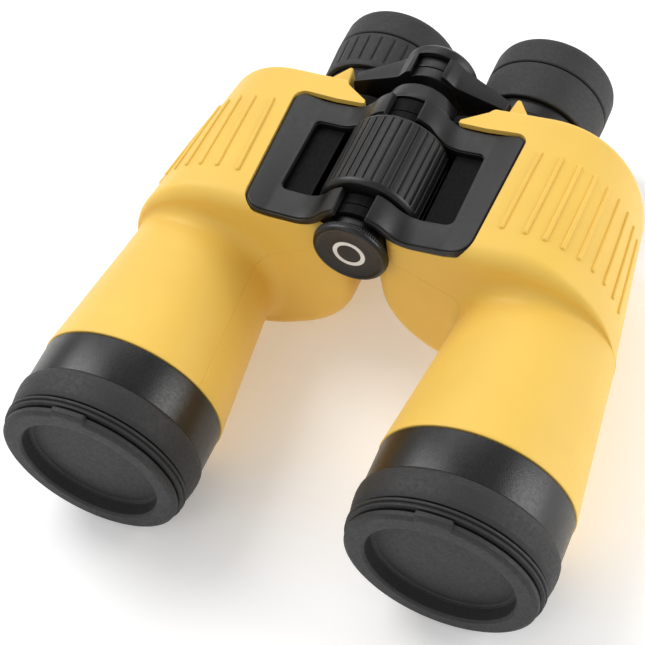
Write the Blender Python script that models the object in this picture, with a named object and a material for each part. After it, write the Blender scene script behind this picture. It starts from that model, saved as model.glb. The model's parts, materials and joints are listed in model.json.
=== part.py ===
"""Centre-focus Porro-prism binoculars with rubber armour, built as separate solids.

Sizes are in millimetres, and each maker turns them into metres. They are measured from the hinge
axis: +X towards the user's left half, +Y from the objectives to the eyepieces, +Z up. Stations along
Y are counted from the front of the objective caps. One empty puts this frame into the world.
"""

import math

import bmesh
import bpy

MM = 0.001

# Driving dimensions.
LENGTH = 201.4
HINGE_HEIGHT = 64.0
OBJECTIVE = (60.4, -31.0)
EYEPIECE = (29.6, -27.0)
HALVES = {"left": 1, "right": -1}

# Prism housing, and the tube in front of it.
HOUSING_FRONT = 90.0
HOUSING_REAR = 153.0
HOUSING_TOP = 8.7
HOUSING_BOTTOM = -58.0
HOUSING_INNER = 5.0
FRONT_ROUNDING = 5.0
REAR_ROUNDING = 3.0
UNDER_ROUNDING = (39.5, 34.0)
ARMOUR = 2.0
GAP = 0.3
SHELL = 2.5
TUBE_STATIONS = ((32.2, 32.5), (60.0, 29.4), (97.0, 25.5))
HOUSING_FULLNESS = 2.2
RIB_COUNT = 9
RIB_SPAN = (103.0, 136.0)

# Centre hinge and focus wheel.
AXLE_R = 6.0
BORE_R = 6.09
LUG_R = 12.7
LUG_CLEAR_R = 13.1
FRONT_LUGS = ((92.3, 96.1), (96.5, 100.5))
REAR_LUGS = ((139.0, 144.4), (133.1, 138.6))
WHEEL_R = 17.6
WHEEL_SPAN = (101.2, 132.4)
WHEEL_POCKET_R = 20.5
WHEEL_GROOVES = 20

# Top plates.
PLATE_SPAN = (89.7, 144.6)
PLATE_INNER = 6.0
PLATE_R = 16.0
PLATE_FILLET = 12.0
PLATE_FLAT_Z = 6.5
PLATE_OUTER = (41.8, 8.4)
PLATE_THICK = 2.6
WINDOW = (30.0, 101.0, 132.2)

# The corner that the armour leaves free beside the rear collar, in plan.
REAR_CORNER = ((0.0, 132.0), (14.8, 132.0), (17.3, 144.3), (25.5, 149.6), (28.6, 154.5), (28.6, 166.0))
REAR_CORNER += ((0.0, 166.0),)

# Focusing bridge.
BRIDGE_SPAN = (157.5, 166.5)
BRIDGE_RING_R = 11.0
BRIDGE_ROD_R = 4.0
BRIDGE_TOP = ((5.6, 12.0), (7.6, 10.9), (9.7, 8.9), (15.6, 6.0), (24.6, 2.8), (28.0, 1.4))
BRIDGE_TAPER = ((11.0, 166.8), (29.0, 161.5), (60.0, 161.5), (60.0, 170.0), (11.0, 170.0))

# Eyepieces.
GUIDE_R = 14.9
BARREL_R = 16.9
OCULAR_BASE_R = 19.6
BAND_SPAN = (172.8, 188.4)
BAND_R = (21.5, 22.4)
DIOPTRE_GROOVES = 16
EYECUP_SPAN = (189.0, LENGTH)
EYECUP_R = 22.4

# Prisms. The two shifts make up the step from the objective's axis to the eyepiece's.
PRISM_APERTURE = 20.0
SHELF_SPAN = (121.6, 124.4)
HIDDEN_STEPS = 20
OUTER_STEPS = 28

LOOKS = {
    "armour": ((0.86, 0.53, 0.11), 0.5, 0.0),
    "black_plastic": ((0.025, 0.025, 0.027), 0.35, 0.0),
    "black_satin": ((0.022, 0.022, 0.024), 0.28, 0.0),
    "black_rubber": ((0.035, 0.035, 0.036), 0.65, 0.0),
    "housing": ((0.018, 0.018, 0.018), 0.45, 0.0),
    "anodised": ((0.05, 0.05, 0.055), 0.3, 0.9),
    "steel": ((0.55, 0.55, 0.56), 0.25, 1.0),
    "brass": ((0.75, 0.58, 0.28), 0.3, 1.0),
    "coated_glass": ((0.35, 0.25, 0.6), 0.05, 0.0),
    "prism_glass": ((0.8, 0.85, 0.85), 0.05, 0.0),
}


# Scene and materials.


def clear_scene():
    for obj in list(bpy.data.objects):
        bpy.data.objects.remove(obj, do_unlink=True)


def make_collection(name, hidden=False):
    collection = bpy.data.collections.new(name)
    bpy.context.scene.collection.children.link(collection)
    collection.hide_render = hidden
    return collection


def make_material(name):
    colour, roughness, metallic = LOOKS[name]
    material = bpy.data.materials.new(name)
    material.use_nodes = True
    shader = material.node_tree.nodes["Principled BSDF"]
    shader.inputs["Base Color"].default_value = (*colour, 1.0)
    shader.inputs["Roughness"].default_value = roughness
    shader.inputs["Metallic"].default_value = metallic
    return material


clear_scene()
PARTS = make_collection("binoculars")
CUTTERS = make_collection("cutters", hidden=True)
MATERIALS = {name: make_material(name) for name in LOOKS}
FRAME = bpy.data.objects.new("hinge_axis", None)
FRAME.location = (0, -LENGTH / 2 * MM, HINGE_HEIGHT * MM)
PARTS.objects.link(FRAME)


def add(name, bm, look=None, axis=(0, 0)):
    """Links a mesh, in millimetres from its axis (x, z), as a part, or as a cutter when it has no look."""
    bmesh.ops.remove_doubles(bm, verts=bm.verts, dist=1e-4)
    bmesh.ops.recalc_face_normals(bm, faces=bm.faces)
    bmesh.ops.scale(bm, vec=(MM, MM, MM), verts=bm.verts)
    mesh = bpy.data.meshes.new(name)
    bm.to_mesh(mesh)
    bm.free()
    obj = bpy.data.objects.new(name, mesh)
    obj.location = (axis[0] * MM, 0, axis[1] * MM)
    obj.parent = FRAME
    if look:
        mesh.materials.append(MATERIALS[look])
        mesh.shade_smooth()
        mesh.set_sharp_from_angle(angle=math.radians(30))
        PARTS.objects.link(obj)
    else:
        obj.hide_render = True
        obj.display_type = "WIRE"
        CUTTERS.objects.link(obj)
    return obj


def boolean(target, operation, *others):
    for other in others:
        modifier = target.modifiers.new(operation.lower(), "BOOLEAN")
        modifier.operation = operation
        modifier.solver = "EXACT"
        modifier.object = other
    return target


def cut(target, *others):
    return boolean(target, "DIFFERENCE", *others)


def join(target, *others):
    return boolean(target, "UNION", *others)


# Makers.


def lathe(name, axis, profile, look=None, steps=OUTER_STEPS):
    """Turns a closed profile of (radius, y) about the line along Y through axis."""
    bm = bmesh.new()
    verts = [bm.verts.new((radius, y, 0)) for radius, y in profile]
    edges = []
    for a, b in zip(verts, verts[1:] + verts[:1]):
        if a.co.x or b.co.x:
            edges.append(bm.edges.new((a, b)))
    bmesh.ops.spin(
        bm,
        geom=verts + edges,
        cent=(0, 0, 0),
        axis=(0, 1, 0),
        angle=2 * math.pi,
        steps=steps,
        use_merge=True,
    )
    return add(name, bm, look, axis)


def tube(name, axis, inner, outer, span, look=None, steps=OUTER_STEPS):
    y0, y1 = span
    return lathe(name, axis, [(inner, y0), (outer, y0), (outer, y1), (inner, y1)], look, steps)


def rod(name, axis, radius, span, look=None, steps=OUTER_STEPS):
    y0, y1 = span
    return lathe(name, axis, [(0, y0), (radius, y0), (radius, y1), (0, y1)], look, steps)


def extrude(name, outline, start, depth, look=None, axis=(0, 0)):
    """Pushes a flat outline of 3-D points along depth, from start on."""
    bm = bmesh.new()
    face = bm.faces.new([bm.verts.new([p + s for p, s in zip(point, start)]) for point in outline])
    moved = bmesh.ops.extrude_face_region(bm, geom=[face])["geom"]
    bmesh.ops.translate(bm, vec=depth, verts=[g for g in moved if isinstance(g, bmesh.types.BMVert)])
    return add(name, bm, look, axis)


def upright(name, outline, span, look=None, axis=(0, 0)):
    """A solid with an (x, z) outline, running along Y over span."""
    points = [(x, 0, z) for x, z in outline]
    return extrude(name, points, (0, span[0], 0), (0, span[1] - span[0], 0), look, axis)


def plan(name, outline, span, look=None):
    """A solid with an (x, y) outline, running along Z over span."""
    points = [(x, y, 0) for x, y in outline]
    return extrude(name, points, (0, 0, span[0]), (0, 0, span[1] - span[0]), look)


def loft(name, sections, look=None, axis=(0, 0), ring=False):
    """Skins (y, [(x, z), ...]) sections that all have the same number of points."""
    bm = bmesh.new()
    rows = [[bm.verts.new((x, y, z)) for x, z in points] for y, points in sections]
    pairs = list(zip(rows, rows[1:]))
    if ring:
        pairs.append((rows[-1], rows[0]))
    for first, second in pairs:
        for i in range(len(first)):
            j = (i + 1) % len(first)
            bm.faces.new((first[i], first[j], second[j], second[i]))
    if not ring:
        bm.faces.new(rows[0])
        bm.faces.new(rows[-1])
    return add(name, bm, look, axis)


def arc(centre, radius, start, end, count):
    """Points on a circle between two angles in degrees; radius may be one number or an (x, z) pair."""
    rx, rz = radius if isinstance(radius, tuple) else (radius, radius)
    angles = [math.radians(start + (end - start) * i / (count - 1)) for i in range(count)]
    return [(centre[0] + rx * math.cos(a), centre[1] + rz * math.sin(a)) for a in angles]


def notched(radius, depth, count, share=0.3, start=0.0):
    """The outline of a wheel with evenly spaced grooves: each takes share of its pitch."""
    points = []
    pitch = 2 * math.pi / count
    floor = radius - depth
    corners = ((0, radius), (1 - share, radius), (1 - share * 0.7, floor), (1 - share * 0.3, floor))
    for i in range(count):
        for step, r in corners:
            angle = start + pitch * (i + step)
            points.append((r * math.cos(angle), r * math.sin(angle)))
    return points


def mirrored(points, side):
    return [(side * x, z) for x, z in points]


# The outline of a housing.


def mix(a, b, share):
    return a + (b - a) * share


def housing_outer(y):
    """How far the housing reaches outwards, and the centre of its outer curve, at station y."""
    share = (y - HOUSING_FRONT) / (HOUSING_REAR - HOUSING_FRONT)
    return mix(86.2, 77.4, share), mix(50.5, 46.5, share)


def housing_side_point(y, degrees, inset=0.0):
    """A point on the housing's outer side, which is a little boxier than an ellipse."""
    outer, centre = housing_outer(y)
    power = 2 / HOUSING_FULLNESS
    c, s = math.cos(math.radians(degrees)), math.sin(math.radians(degrees))
    middle = OBJECTIVE[1]
    reach = (HOUSING_TOP - middle if s > 0 else middle - HOUSING_BOTTOM) - inset
    x = centre + (outer - centre - inset) * abs(c) ** power * (1 if c > 0 else -1)
    return x, middle + reach * abs(s) ** power * (1 if s > 0 else -1)


def housing_outline(y, inset, side):
    outside = [housing_side_point(y, 90 - 11.25 * i, inset) for i in range(17)]
    across, up = UNDER_ROUNDING
    middle = (HOUSING_INNER + across, HOUSING_BOTTOM + up)
    corner = arc(middle, (across - inset, up - inset), -90, -180, 9)
    shoulder = arc((HOUSING_INNER + 13, -5.2), 13 - inset, 180, 90, 5)
    return mirrored(outside + corner + shoulder, side)


def end_rounding(radius, inset, steps=4):
    """(distance from the end, extra inset) pairs round an end's edge, for a surface set into the solid."""
    left = max(radius - inset, 0.6)
    angles = [math.radians(90 * i / steps) for i in range(steps + 1)]
    return [(left * (1 - math.sin(a)), left * (1 - math.cos(a))) for a in reversed(angles)]


def housing_loft(name, inset, side, look=None, front=None, rear=None):
    """The housing's outside moved in by inset. A stated front or rear is flat, with no rounding."""
    sections = []
    if front is None:
        for back, extra in reversed(end_rounding(FRONT_ROUNDING, inset)):
            y = HOUSING_FRONT + inset + back
            sections.append((y, housing_outline(y, inset + extra, side)))
        sections.sort(key=lambda section: section[0])
    else:
        sections.append((front, housing_outline(front, inset, side)))
    sections.append((120.0, housing_outline(120.0, inset, side)))
    if rear is None:
        ends = []
        for back, extra in end_rounding(REAR_ROUNDING, inset):
            y = HOUSING_REAR - inset - back
            ends.append((y, housing_outline(y, inset + extra, side)))
        sections += sorted(ends, key=lambda section: section[0])
    else:
        sections.append((rear, housing_outline(rear, inset, side)))
    return loft(name, sections, look)


def tube_profile(inset, wall, front, rear):
    """A cone that follows the tube's outside, moved in by inset and wall thick; no wall makes it solid."""
    (y0, r0), (y1, r1), (y2, r2) = TUBE_STATIONS

    def radius(y):
        return mix(r0, r1, (y - y0) / (y1 - y0)) if y < y1 else mix(r1, r2, (y - y1) / (y2 - y1))

    stations = [front, y1, rear]
    outside = [(radius(y) - inset, y) for y in stations]
    inside = [(radius(y) - inset - wall if wall else 0, y) for y in reversed(stations)]
    return outside + (inside if wall else [inside[0], inside[-1]])


def side_axis(axis, side):
    return (side * axis[0], axis[1])


# Armour, housing and what holds the objective.


def plate_curve(drop):
    """The top plate's upper surface as (x, z), moved down by drop, from the hinge outwards."""
    reach = PLATE_R + PLATE_FILLET
    rise = PLATE_FLAT_Z + PLATE_FILLET
    across = math.sqrt(reach**2 - rise**2)
    meet = math.degrees(math.atan2(rise, across))
    end = math.degrees(math.acos(PLATE_INNER / PLATE_R))
    hump = arc((0, 0), PLATE_R - drop, end, meet, 5)
    fillet = arc((across, rise), PLATE_FILLET + drop, meet + 180, 270, 5)[1:]
    return hump + fillet + [(31.0, PLATE_FLAT_Z + 0.2 - drop), (PLATE_OUTER[0], PLATE_OUTER[1] - drop)]


def rounded_corner(corner, radius, start):
    """A quarter circle inside a square corner, as seen in plan, turning anticlockwise."""
    cx = corner[0] - radius * (1 if start in (0, 270) else -1)
    cy = corner[1] - radius * (1 if start in (0, 90) else -1)
    return arc((cx, cy), radius, start, start + 90, 5)


def plate_plan(grow, side):
    """The plate's C shape from above: outer edge, then round the window that opens towards the wheel."""
    inner = PLATE_INNER - 2
    x1 = PLATE_OUTER[0] - 0.4
    front, rear = PLATE_SPAN
    window, y0, y1 = WINDOW
    outline = [(inner, front)]
    outline += rounded_corner((x1 - 1.8, front + 0.6), 6.0, 270)
    outline += rounded_corner((x1, rear - 2.2), 4.0, 0)
    outline += [(27.0, rear - 2.6), (16.0, rear - 2.2), (11.0, rear), (inner, rear)]
    outline += [(inner, y1 + 2.6), (11.0, y1 + 2.6), (17.0, y1 + 0.4)]
    outline += list(reversed(rounded_corner((window, y1), 1.6, 0)))
    outline += list(reversed(rounded_corner((window, y0), 2.4, 270)))
    outline += [(17.0, y0 - 0.4), (inner, y0 - 0.4)]
    return mirrored([(x + (grow if x > 40 else 0), y) for x, y in outline], side)


def plate_pocket(name, side):
    """What the armour and the housing leave free for the plate: all that lies above its underside."""
    curve = plate_curve(PLATE_THICK + GAP)
    curve[0] = (0.0, curve[0][1])
    curve[-1] = (PLATE_OUTER[0] + 0.1, curve[-1][1])
    curve += [(PLATE_OUTER[0] + 0.1, 30.0), (0.0, 30.0)]
    pocket = upright(name, mirrored(curve, side), (85.0, PLATE_SPAN[1] + GAP))
    y0, y1 = PLATE_SPAN[1] - 1.9, PLATE_SPAN[1] + 5
    keep = mirrored([(18.0, y0), (60.0, y0), (60.0, y1), (18.0, y1)], side)
    return cut(pocket, plan(f"{name}_keep", keep, (-20, 40)))


def make_rib(name, index, side):
    """One raised bead that runs along the housing's outer curve."""
    ends = (94.5 - 10.2 * index, 89.5 - 11.3 * index + 0.13 * index**2)
    corners = []
    for y, degrees in zip(RIB_SPAN, ends):
        x, z = housing_side_point(y, degrees)
        (x0, z0), (x1, z1) = housing_side_point(y, degrees - 1), housing_side_point(y, degrees + 1)
        size = math.hypot(x1 - x0, z1 - z0)
        along = ((x1 - x0) / size, (z1 - z0) / size)
        normal = (along[1], -along[0])
        row = []
        for out, half in ((-1.0, 1.0), (0.5, 0.8), (0.5, -0.8), (-1.0, -1.0)):
            dx = normal[0] * out + along[0] * half
            dz = normal[1] * out + along[1] * half
            row.append((side * (x + dx), z + dz))
        corners.append((y, row))
    return loft(name, corners)


def make_armour(half, side):
    armour = housing_loft(f"{half}_armour", 0, side, "armour")
    objective = side_axis(OBJECTIVE, side)
    front, rear = TUBE_STATIONS[0][0], TUBE_STATIONS[-1][0]
    join(armour, lathe(f"{half}_armour_tube", objective, tube_profile(0, 0, front, rear)))
    fin = mirrored([(28.0, 150.0), (30.2, 163.0), (31.6, 163.2), (41.5, 150.0)], side)
    join(armour, plan(f"{half}_fin", fin, (-4.2, 2.0)))
    for index in range(RIB_COUNT):
        join(armour, make_rib(f"{half}_rib_{index}", index, side))
    inside = housing_loft(f"{half}_armour_inside", ARMOUR, side)
    bore = lathe(f"{half}_armour_bore", objective, tube_profile(ARMOUR, 0, front - 2, rear + 2))
    eyepiece = rod(f"{half}_armour_eye", side_axis(EYEPIECE, side), 18.4, (148.0, 158.0))
    pocket = plate_pocket(f"{half}_armour_pocket", side)
    corner = plan(f"{half}_armour_corner", mirrored(REAR_CORNER, side), (-12.0, 20.0))
    return cut(armour, join(inside, bore), pocket, *hinge_cutters(half), eyepiece, corner)


def hinge_cutters(half):
    """What both skins of a half leave free round the hinge: collars, lugs and wheel."""
    name = f"{half}_clear"
    return (
        rod(f"{name}_front_collar", (0, 0), 11.7, (80.0, 92.2)),
        rod(f"{name}_lugs", (0, 0), LUG_CLEAR_R, (92.1, 144.8)),
        rod(f"{name}_wheel", (0, 0), WHEEL_POCKET_R, (100.9, 132.8)),
        rod(f"{name}_rear_collar", (0, 0), 14.3, (144.6, 160.0)),
    )


def make_housing(half, side):
    """The prism housing: a shell open at the rear, with this half's two hinge lugs."""
    own, other = (0, 1) if side > 0 else (1, 0)
    inset = ARMOUR + GAP
    shell = housing_loft(f"{half}_prism_housing", inset, side, "housing", rear=148.1)
    front = HOUSING_FRONT + inset + 2.6
    hollow = housing_loft(f"{half}_hollow", inset + SHELL, side, front=front, rear=150.0)
    roof = mirrored([(0, 1.2), (44.4, 1.2), (44.4, 20), (0, 20)], side)
    wheel_wall = rod(f"{half}_wheel_wall", (0, 0), WHEEL_POCKET_R + 2.2, (90.0, 152.0))
    cut(hollow, upright(f"{half}_roof", roof, (80, 160)), wheel_wall)
    light = rod(f"{half}_light_way", side_axis(OBJECTIVE, side), 21.0, (85.0, 100.0), steps=HIDDEN_STEPS)
    cut(shell, hollow, light, plate_pocket(f"{half}_housing_pocket", side))
    cut(shell, rod(f"{half}_rear_collar_way", (0, 0), 14.3, (144.6, 160.0)))
    cut(shell, rod(f"{half}_wheel_way", (0, 0), WHEEL_POCKET_R, (100.9, 132.8)))
    for lugs, place in ((FRONT_LUGS, "front"), (REAR_LUGS, "rear")):
        y0, y1 = lugs[other]
        cut(shell, rod(f"{half}_{place}_other_lug", (0, 0), LUG_CLEAR_R, (y0 - 0.35, y1 + 0.35)))
        y0, y1 = lugs[own]
        lug = rod(f"{half}_{place}_lug", (0, 0), LUG_R, (y0, y1))
        join(shell, lug)
    return cut(shell, rod(f"{half}_axle_way", (0, 0), BORE_R, (80.0, 160.0), steps=HIDDEN_STEPS))


def make_rear_cover(half, side):
    sections = [(y, housing_outline(y, 4.6, side)) for y in (148.4, 150.7)]
    cover = loft(f"{half}_rear_cover", sections, "housing")
    axis = side_axis(EYEPIECE, side)
    hole = rod(f"{half}_guide_way", axis, GUIDE_R + 0.3, (140, 160), steps=HIDDEN_STEPS)
    return cut(cover, hole, rod(f"{half}_cover_collar_way", (0, 0), 14.3, (140.0, 160.0)))


def make_objective_end(half, side):
    axis = side_axis(OBJECTIVE, side)
    neck = [(28.7, 25.0), (28.7, 32.5)]
    wall = tube_profile(ARMOUR + GAP, 2.0, 33.0, 91.9)
    profile = neck + wall + [(26.7, 33.0), (26.7, 25.0)]
    lathe(f"{half}_objective_tube", axis, profile, "anodised", HIDDEN_STEPS)
    sleeve = [(28.95, 6.6), (30.6, 6.6), (30.6, 17.4), (32.15, 17.6), (32.15, 31.9), (28.95, 31.9)]
    lathe(f"{half}_objective_sleeve", axis, sleeve, "black_satin")
    bumper = [(30.9, 6.6), (31.9, 6.8), (32.8, 11.0), (33.0, 14.6), (32.7, 16.3), (32.2, 17.2)]
    bumper += [(30.9, 17.2)]
    lathe(f"{half}_bumper_band", axis, bumper, "black_rubber")
    lip = [(28.95, 3.2), (31.5, 3.2), (32.1, 3.9), (31.5, 4.6)]
    lip += [(31.5, 5.0), (32.2, 5.6), (31.6, 6.3), (28.95, 6.3)]
    lathe(f"{half}_rim_ring", axis, lip, "black_rubber")
    cell = [(25.4, 10.6), (28.65, 10.6), (28.65, 24.6), (24.4, 24.6), (24.4, 22.9), (25.4, 22.9)]
    lathe(f"{half}_objective_cell", axis, cell, "anodised", HIDDEN_STEPS)
    tube(f"{half}_retaining_ring", axis, 24.4, 28.65, (7.6, 10.3), "anodised", HIDDEN_STEPS)
    front = [(0, 11.6), (9, 12.0), (17, 13.2), (25.1, 15.4)]
    rear = [(25.1, 20.6), (17, 22.0), (9, 22.8), (0, 23.1)]
    lathe(f"{half}_objective_lens", axis, front + rear, "coated_glass", HIDDEN_STEPS)
    make_cap(half, side)


def make_cap(half, side):
    axis = side_axis(OBJECTIVE, side)
    face = [(0, 4.5), (12, 4.6), (22.8, 5.0), (23.1, 4.2), (23.7, 4.1), (24.2, 0.7), (24.9, 0.0)]
    edge = [(30.0, 0.0), (31.0, 0.9), (31.0, 2.3), (30.6, 2.6)]
    plug = [(28.4, 2.9), (28.4, 7.3), (26.6, 7.3), (26.0, 6.3), (0, 6.1)]
    cap = lathe(f"{half}_objective_cap", axis, face + edge + plug, "black_rubber")
    tab = arc((0, 0), 32.6, 99, 77, 4) + arc((0, 0), 29.0, 77, 99, 4)
    join(cap, upright(f"{half}_tab", tab, (0.25, 1.9), axis=axis))
    return cap


# Prisms and their shelf.


def prism_shifts(side):
    """The midpoint axis between objective and eyepiece, with each prism's centre and direction."""
    dx, dz = EYEPIECE[0] - OBJECTIVE[0], EYEPIECE[1] - OBJECTIVE[1]
    halfway = (OBJECTIVE[0] + (dx + dz) / 2, OBJECTIVE[1] + (dz - dx) / 2)
    pairs = []
    for a, b in ((OBJECTIVE, halfway), (halfway, EYEPIECE)):
        size = math.dist(a, b)
        centre = ((a[0] + b[0]) / 2, (a[1] + b[1]) / 2)
        pairs.append((centre, ((b[0] - a[0]) / size, (b[1] - a[1]) / size)))
    return halfway, pairs


def make_prism(name, centre, direction, base_y, apex, side):
    """A right-angle prism on its long face at base_y; apex is +1 when its roof points to the eyepiece."""
    width = PRISM_APERTURE / 2
    across = (-direction[1], direction[0])
    rows = []
    for along, rise in ((-1, 0), (-0.08, 0.92), (0.08, 0.92), (1, 0)):
        x = centre[0] + direction[0] * along * PRISM_APERTURE
        z = centre[1] + direction[1] * along * PRISM_APERTURE
        rows.append((x, base_y + apex * rise * PRISM_APERTURE, z))
    points = [(side * (x - across[0] * width), y, z - across[1] * width) for x, y, z in rows]
    depth = (side * across[0] * 2 * width, 0, across[1] * 2 * width)
    return extrude(name, points, (0, 0, 0), depth, "prism_glass")


def make_prisms(half, side):
    halfway, (rear, front) = prism_shifts(side)
    make_prism(f"{half}_rear_prism", *rear, SHELF_SPAN[1] + 0.2, 1, side)
    make_prism(f"{half}_front_prism", *front, SHELF_SPAN[0] - 0.2, -1, side)
    sections = [(y, housing_outline(y, ARMOUR + SHELL + 1.0, side)) for y in SHELF_SPAN]
    shelf = loft(f"{half}_prism_shelf", sections, "anodised")
    roof = mirrored([(0, 0.9), (44.7, 0.9), (44.7, 20), (0, 20)], side)
    cut(shelf, upright(f"{half}_shelf_roof", roof, (110, 140)))
    cut(shelf, rod(f"{half}_shelf_wheel", (0, 0), WHEEL_POCKET_R + 2.6, (110.0, 140.0)))
    for place, axis in (("objective", OBJECTIVE), ("middle", halfway), ("eye", EYEPIECE)):
        cut(shelf, rod(f"{half}_{place}_window", side_axis(axis, side), 8.2, (110, 140), steps=16))


# Top plates, hinge and focus wheel.


def make_plate(half, side):
    top, under = plate_curve(0), plate_curve(PLATE_THICK)
    body = upright(f"{half}_frame_plate", mirrored(top + under[::-1], side), (88.0, 147.0), "black_plastic")
    return boolean(body, "INTERSECT", plan(f"{half}_plate_plan", plate_plan(0, side), (0.0, 25.0)))


def make_wheel():
    y0, y1 = WHEEL_SPAN
    inner = 10.0
    count = WHEEL_GROOVES * 4
    plain = [point for point in arc((0, 0), 1.0, 0, 360 - 360 / count, count)]
    grooved = notched(WHEEL_R, 0.7, WHEEL_GROOVES)
    rows = [(y0, [(inner * x, inner * z) for x, z in plain])]
    rows.append((y0, [(16.4 * x, 16.4 * z) for x, z in plain]))
    rows += [(y0 + 1.4, grooved), (y1 - 1.4, grooved)]
    rows.append((y1, [(16.4 * x, 16.4 * z) for x, z in plain]))
    rows.append((y1, [(inner * x, inner * z) for x, z in plain]))
    loft("focus_wheel", rows, "black_plastic", ring=True)
    tube("focus_wheel_hub", (0, 0), BORE_R, 9.7, WHEEL_SPAN, "anodised")


def make_hinge():
    tube("hinge_axle", (0, 0), 4.3, AXLE_R, (92.1, 152.6), "steel", HIDDEN_STEPS)
    collar = [(BORE_R + 0.2, 88.9), (10.8, 88.9), (11.2, 89.4), (11.2, 91.9), (BORE_R + 0.2, 91.9)]
    lathe("socket_collar", (0, 0), collar, "black_plastic")
    bush = [(3.2, 89.0), (5.9, 89.0), (5.9, 91.8), (4.2, 91.8)]
    bush += [(4.2, 104.0), (0, 104.0), (0, 102.0), (3.2, 102.0)]
    lathe("tripod_socket", (0, 0), bush, "brass", HIDDEN_STEPS)
    face = [(0, 85.6), (11.6, 85.6), (12.2, 85.3), (12.8, 85.8), (13.0, 86.3), (13.0, 88.2), (12.6, 88.6)]
    lathe("socket_cap", (0, 0), face + [(3.0, 88.6), (3.0, 99.0), (0, 99.0)], "black_plastic")
    dome = [(13.4, 144.9), (13.4, 147.0), (12.4, 152.2), (11.6, 153.0)]
    ends = [(BORE_R + 0.2, 153.0), (BORE_R + 0.2, 144.9)]
    lathe("rear_collar", (0, 0), dome + ends, "black_plastic")


def make_bridge_arm(half, side):
    """An arm with its own hinge ring, an ear over the other's ring, and the eyepiece's ring."""
    y0, y1 = BRIDGE_SPAN
    middle = (y0 + y1) / 2
    if side > 0:
        own, other = (middle + 0.15, y1), (y0 - 1, middle + 0.35)
    else:
        own, other = (y0, middle - 0.15), (middle - 0.35, y1 + 1)
    x0, ez = BRIDGE_TOP[0][0], EYEPIECE[1]
    outline = [*BRIDGE_TOP, (28.6, ez + 19), (EYEPIECE[0] - 14, ez + 3), (8.0, -11.0), (x0, -10.0)]
    arm = upright(f"{half}_bridge_arm", mirrored(outline, side), BRIDGE_SPAN, "black_plastic")
    cut(arm, plan(f"{half}_arm_taper", mirrored(BRIDGE_TAPER, side), (-30.0, 30.0)))
    join(arm, rod(f"{half}_eye_ring", side_axis(EYEPIECE, side), 20.3, BRIDGE_SPAN))
    cut(arm, rod(f"{half}_arm_clear", (0, 0), BRIDGE_RING_R + 0.35, other))
    join(arm, rod(f"{half}_bridge_ring", (0, 0), BRIDGE_RING_R, own))
    cut(arm, rod(f"{half}_rod_way", (0, 0), BRIDGE_ROD_R + 0.09, (150, 175), steps=HIDDEN_STEPS))
    return cut(arm, rod(f"{half}_barrel_way", side_axis(EYEPIECE, side), BARREL_R + 0.08, (150, 175)))


def make_bridge():
    rod("focus_rod", (0, 0), BRIDGE_ROD_R, (112.0, 168.0), "steel", HIDDEN_STEPS)
    shell = [(BRIDGE_ROD_R + 0.2, 166.8), (12.8, 166.8), (13.1, 170.2), (11.4, 171.9), (7.5, 172.6)]
    shell += [(0, 172.8), (0, 168.3), (BRIDGE_ROD_R + 0.2, 168.3)]
    lathe("bridge_end_cap", (0, 0), shell, "black_plastic")
    for half, side in HALVES.items():
        make_bridge_arm(half, side)


# Eyepieces.


def make_band(name, axis, grooves):
    (y0, y1), (r0, r1) = BAND_SPAN, BAND_R
    inner = 20.0
    if not grooves:
        outside = [(r0 - 0.3, y0), (r0, y0 + 0.8), (r1, y1 - 0.8), (r1 - 0.3, y1)]
        lathe(name, axis, outside + [(inner, y1), (inner, y0)], "black_rubber")
        return
    count = grooves * 4
    plain = arc((0, 0), 1.0, 0, 360 - 360 / count, count)
    rows = [(y0, [(inner * x, inner * z) for x, z in plain])]
    rows.append((y0, [((r0 - 0.3) * x, (r0 - 0.3) * z) for x, z in plain]))
    rows.append((y0 + 2.2, notched(r0 + 0.1, 0.6, grooves)))
    rows.append((y1 - 1.4, notched(r1, 0.6, grooves)))
    rows.append((y1, [((r1 - 0.3) * x, (r1 - 0.3) * z) for x, z in plain]))
    rows.append((y1, [(inner * x, inner * z) for x, z in plain]))
    loft(name, rows, "black_rubber", axis, ring=True)


def make_eyepiece(half, side):
    axis = side_axis(EYEPIECE, side)
    guide = [(13.2, 146.0), (16.6, 146.0), (16.6, 148.0), (GUIDE_R, 148.0), (GUIDE_R, 161.0), (13.2, 161.0)]
    lathe(f"{half}_guide_tube", axis, guide, "anodised", HIDDEN_STEPS)
    barrel = [(15.2, 158.6), (BARREL_R, 158.6), (BARREL_R, 187.6)]
    barrel += [(12.3, 187.6), (12.3, 183.0), (15.2, 171.0)]
    lathe(f"{half}_ocular_barrel", axis, barrel, "anodised")
    tube(f"{half}_ocular_base", axis, BARREL_R + 0.1, OCULAR_BASE_R, (166.8, 183.5), "black_plastic")
    field = [(0, 164.9), (8, 165.2), (14.9, 166.6), (14.9, 168.4), (8, 169.8), (0, 170.1)]
    lathe(f"{half}_field_lens", axis, field, "coated_glass", 20)
    eye = [(0, 182.2), (6, 182.6), (11.9, 184.2), (11.9, 185.6), (6, 187.4), (0, 188.0)]
    lathe(f"{half}_eye_lens", axis, eye, "coated_glass", 20)
    seat = [(10.6, 187.9), (16.9, 187.9), (16.9, 189.6), (12.4, 189.6)]
    lathe(f"{half}_eye_lens_ring", axis, seat, "black_plastic", HIDDEN_STEPS)
    tube(f"{half}_cam_sleeve", axis, 17.3, 18.15, (186.2, 199.0), "black_plastic", HIDDEN_STEPS)
    y0, y1 = EYECUP_SPAN
    outside = [(18.5, y0), (EYECUP_R - 0.3, y0), (EYECUP_R, y0 + 0.5)]
    outside += [(22.3, y1 - 2.4), (21.8, y1 - 0.9), (20.6, y1)]
    inside = [(18.3, y1), (16.8, y1 - 0.6), (16.4, y1 - 1.8), (18.5, y1 - 2.1)]
    lathe(f"{half}_eyecup", axis, outside + inside, "black_rubber")


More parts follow.
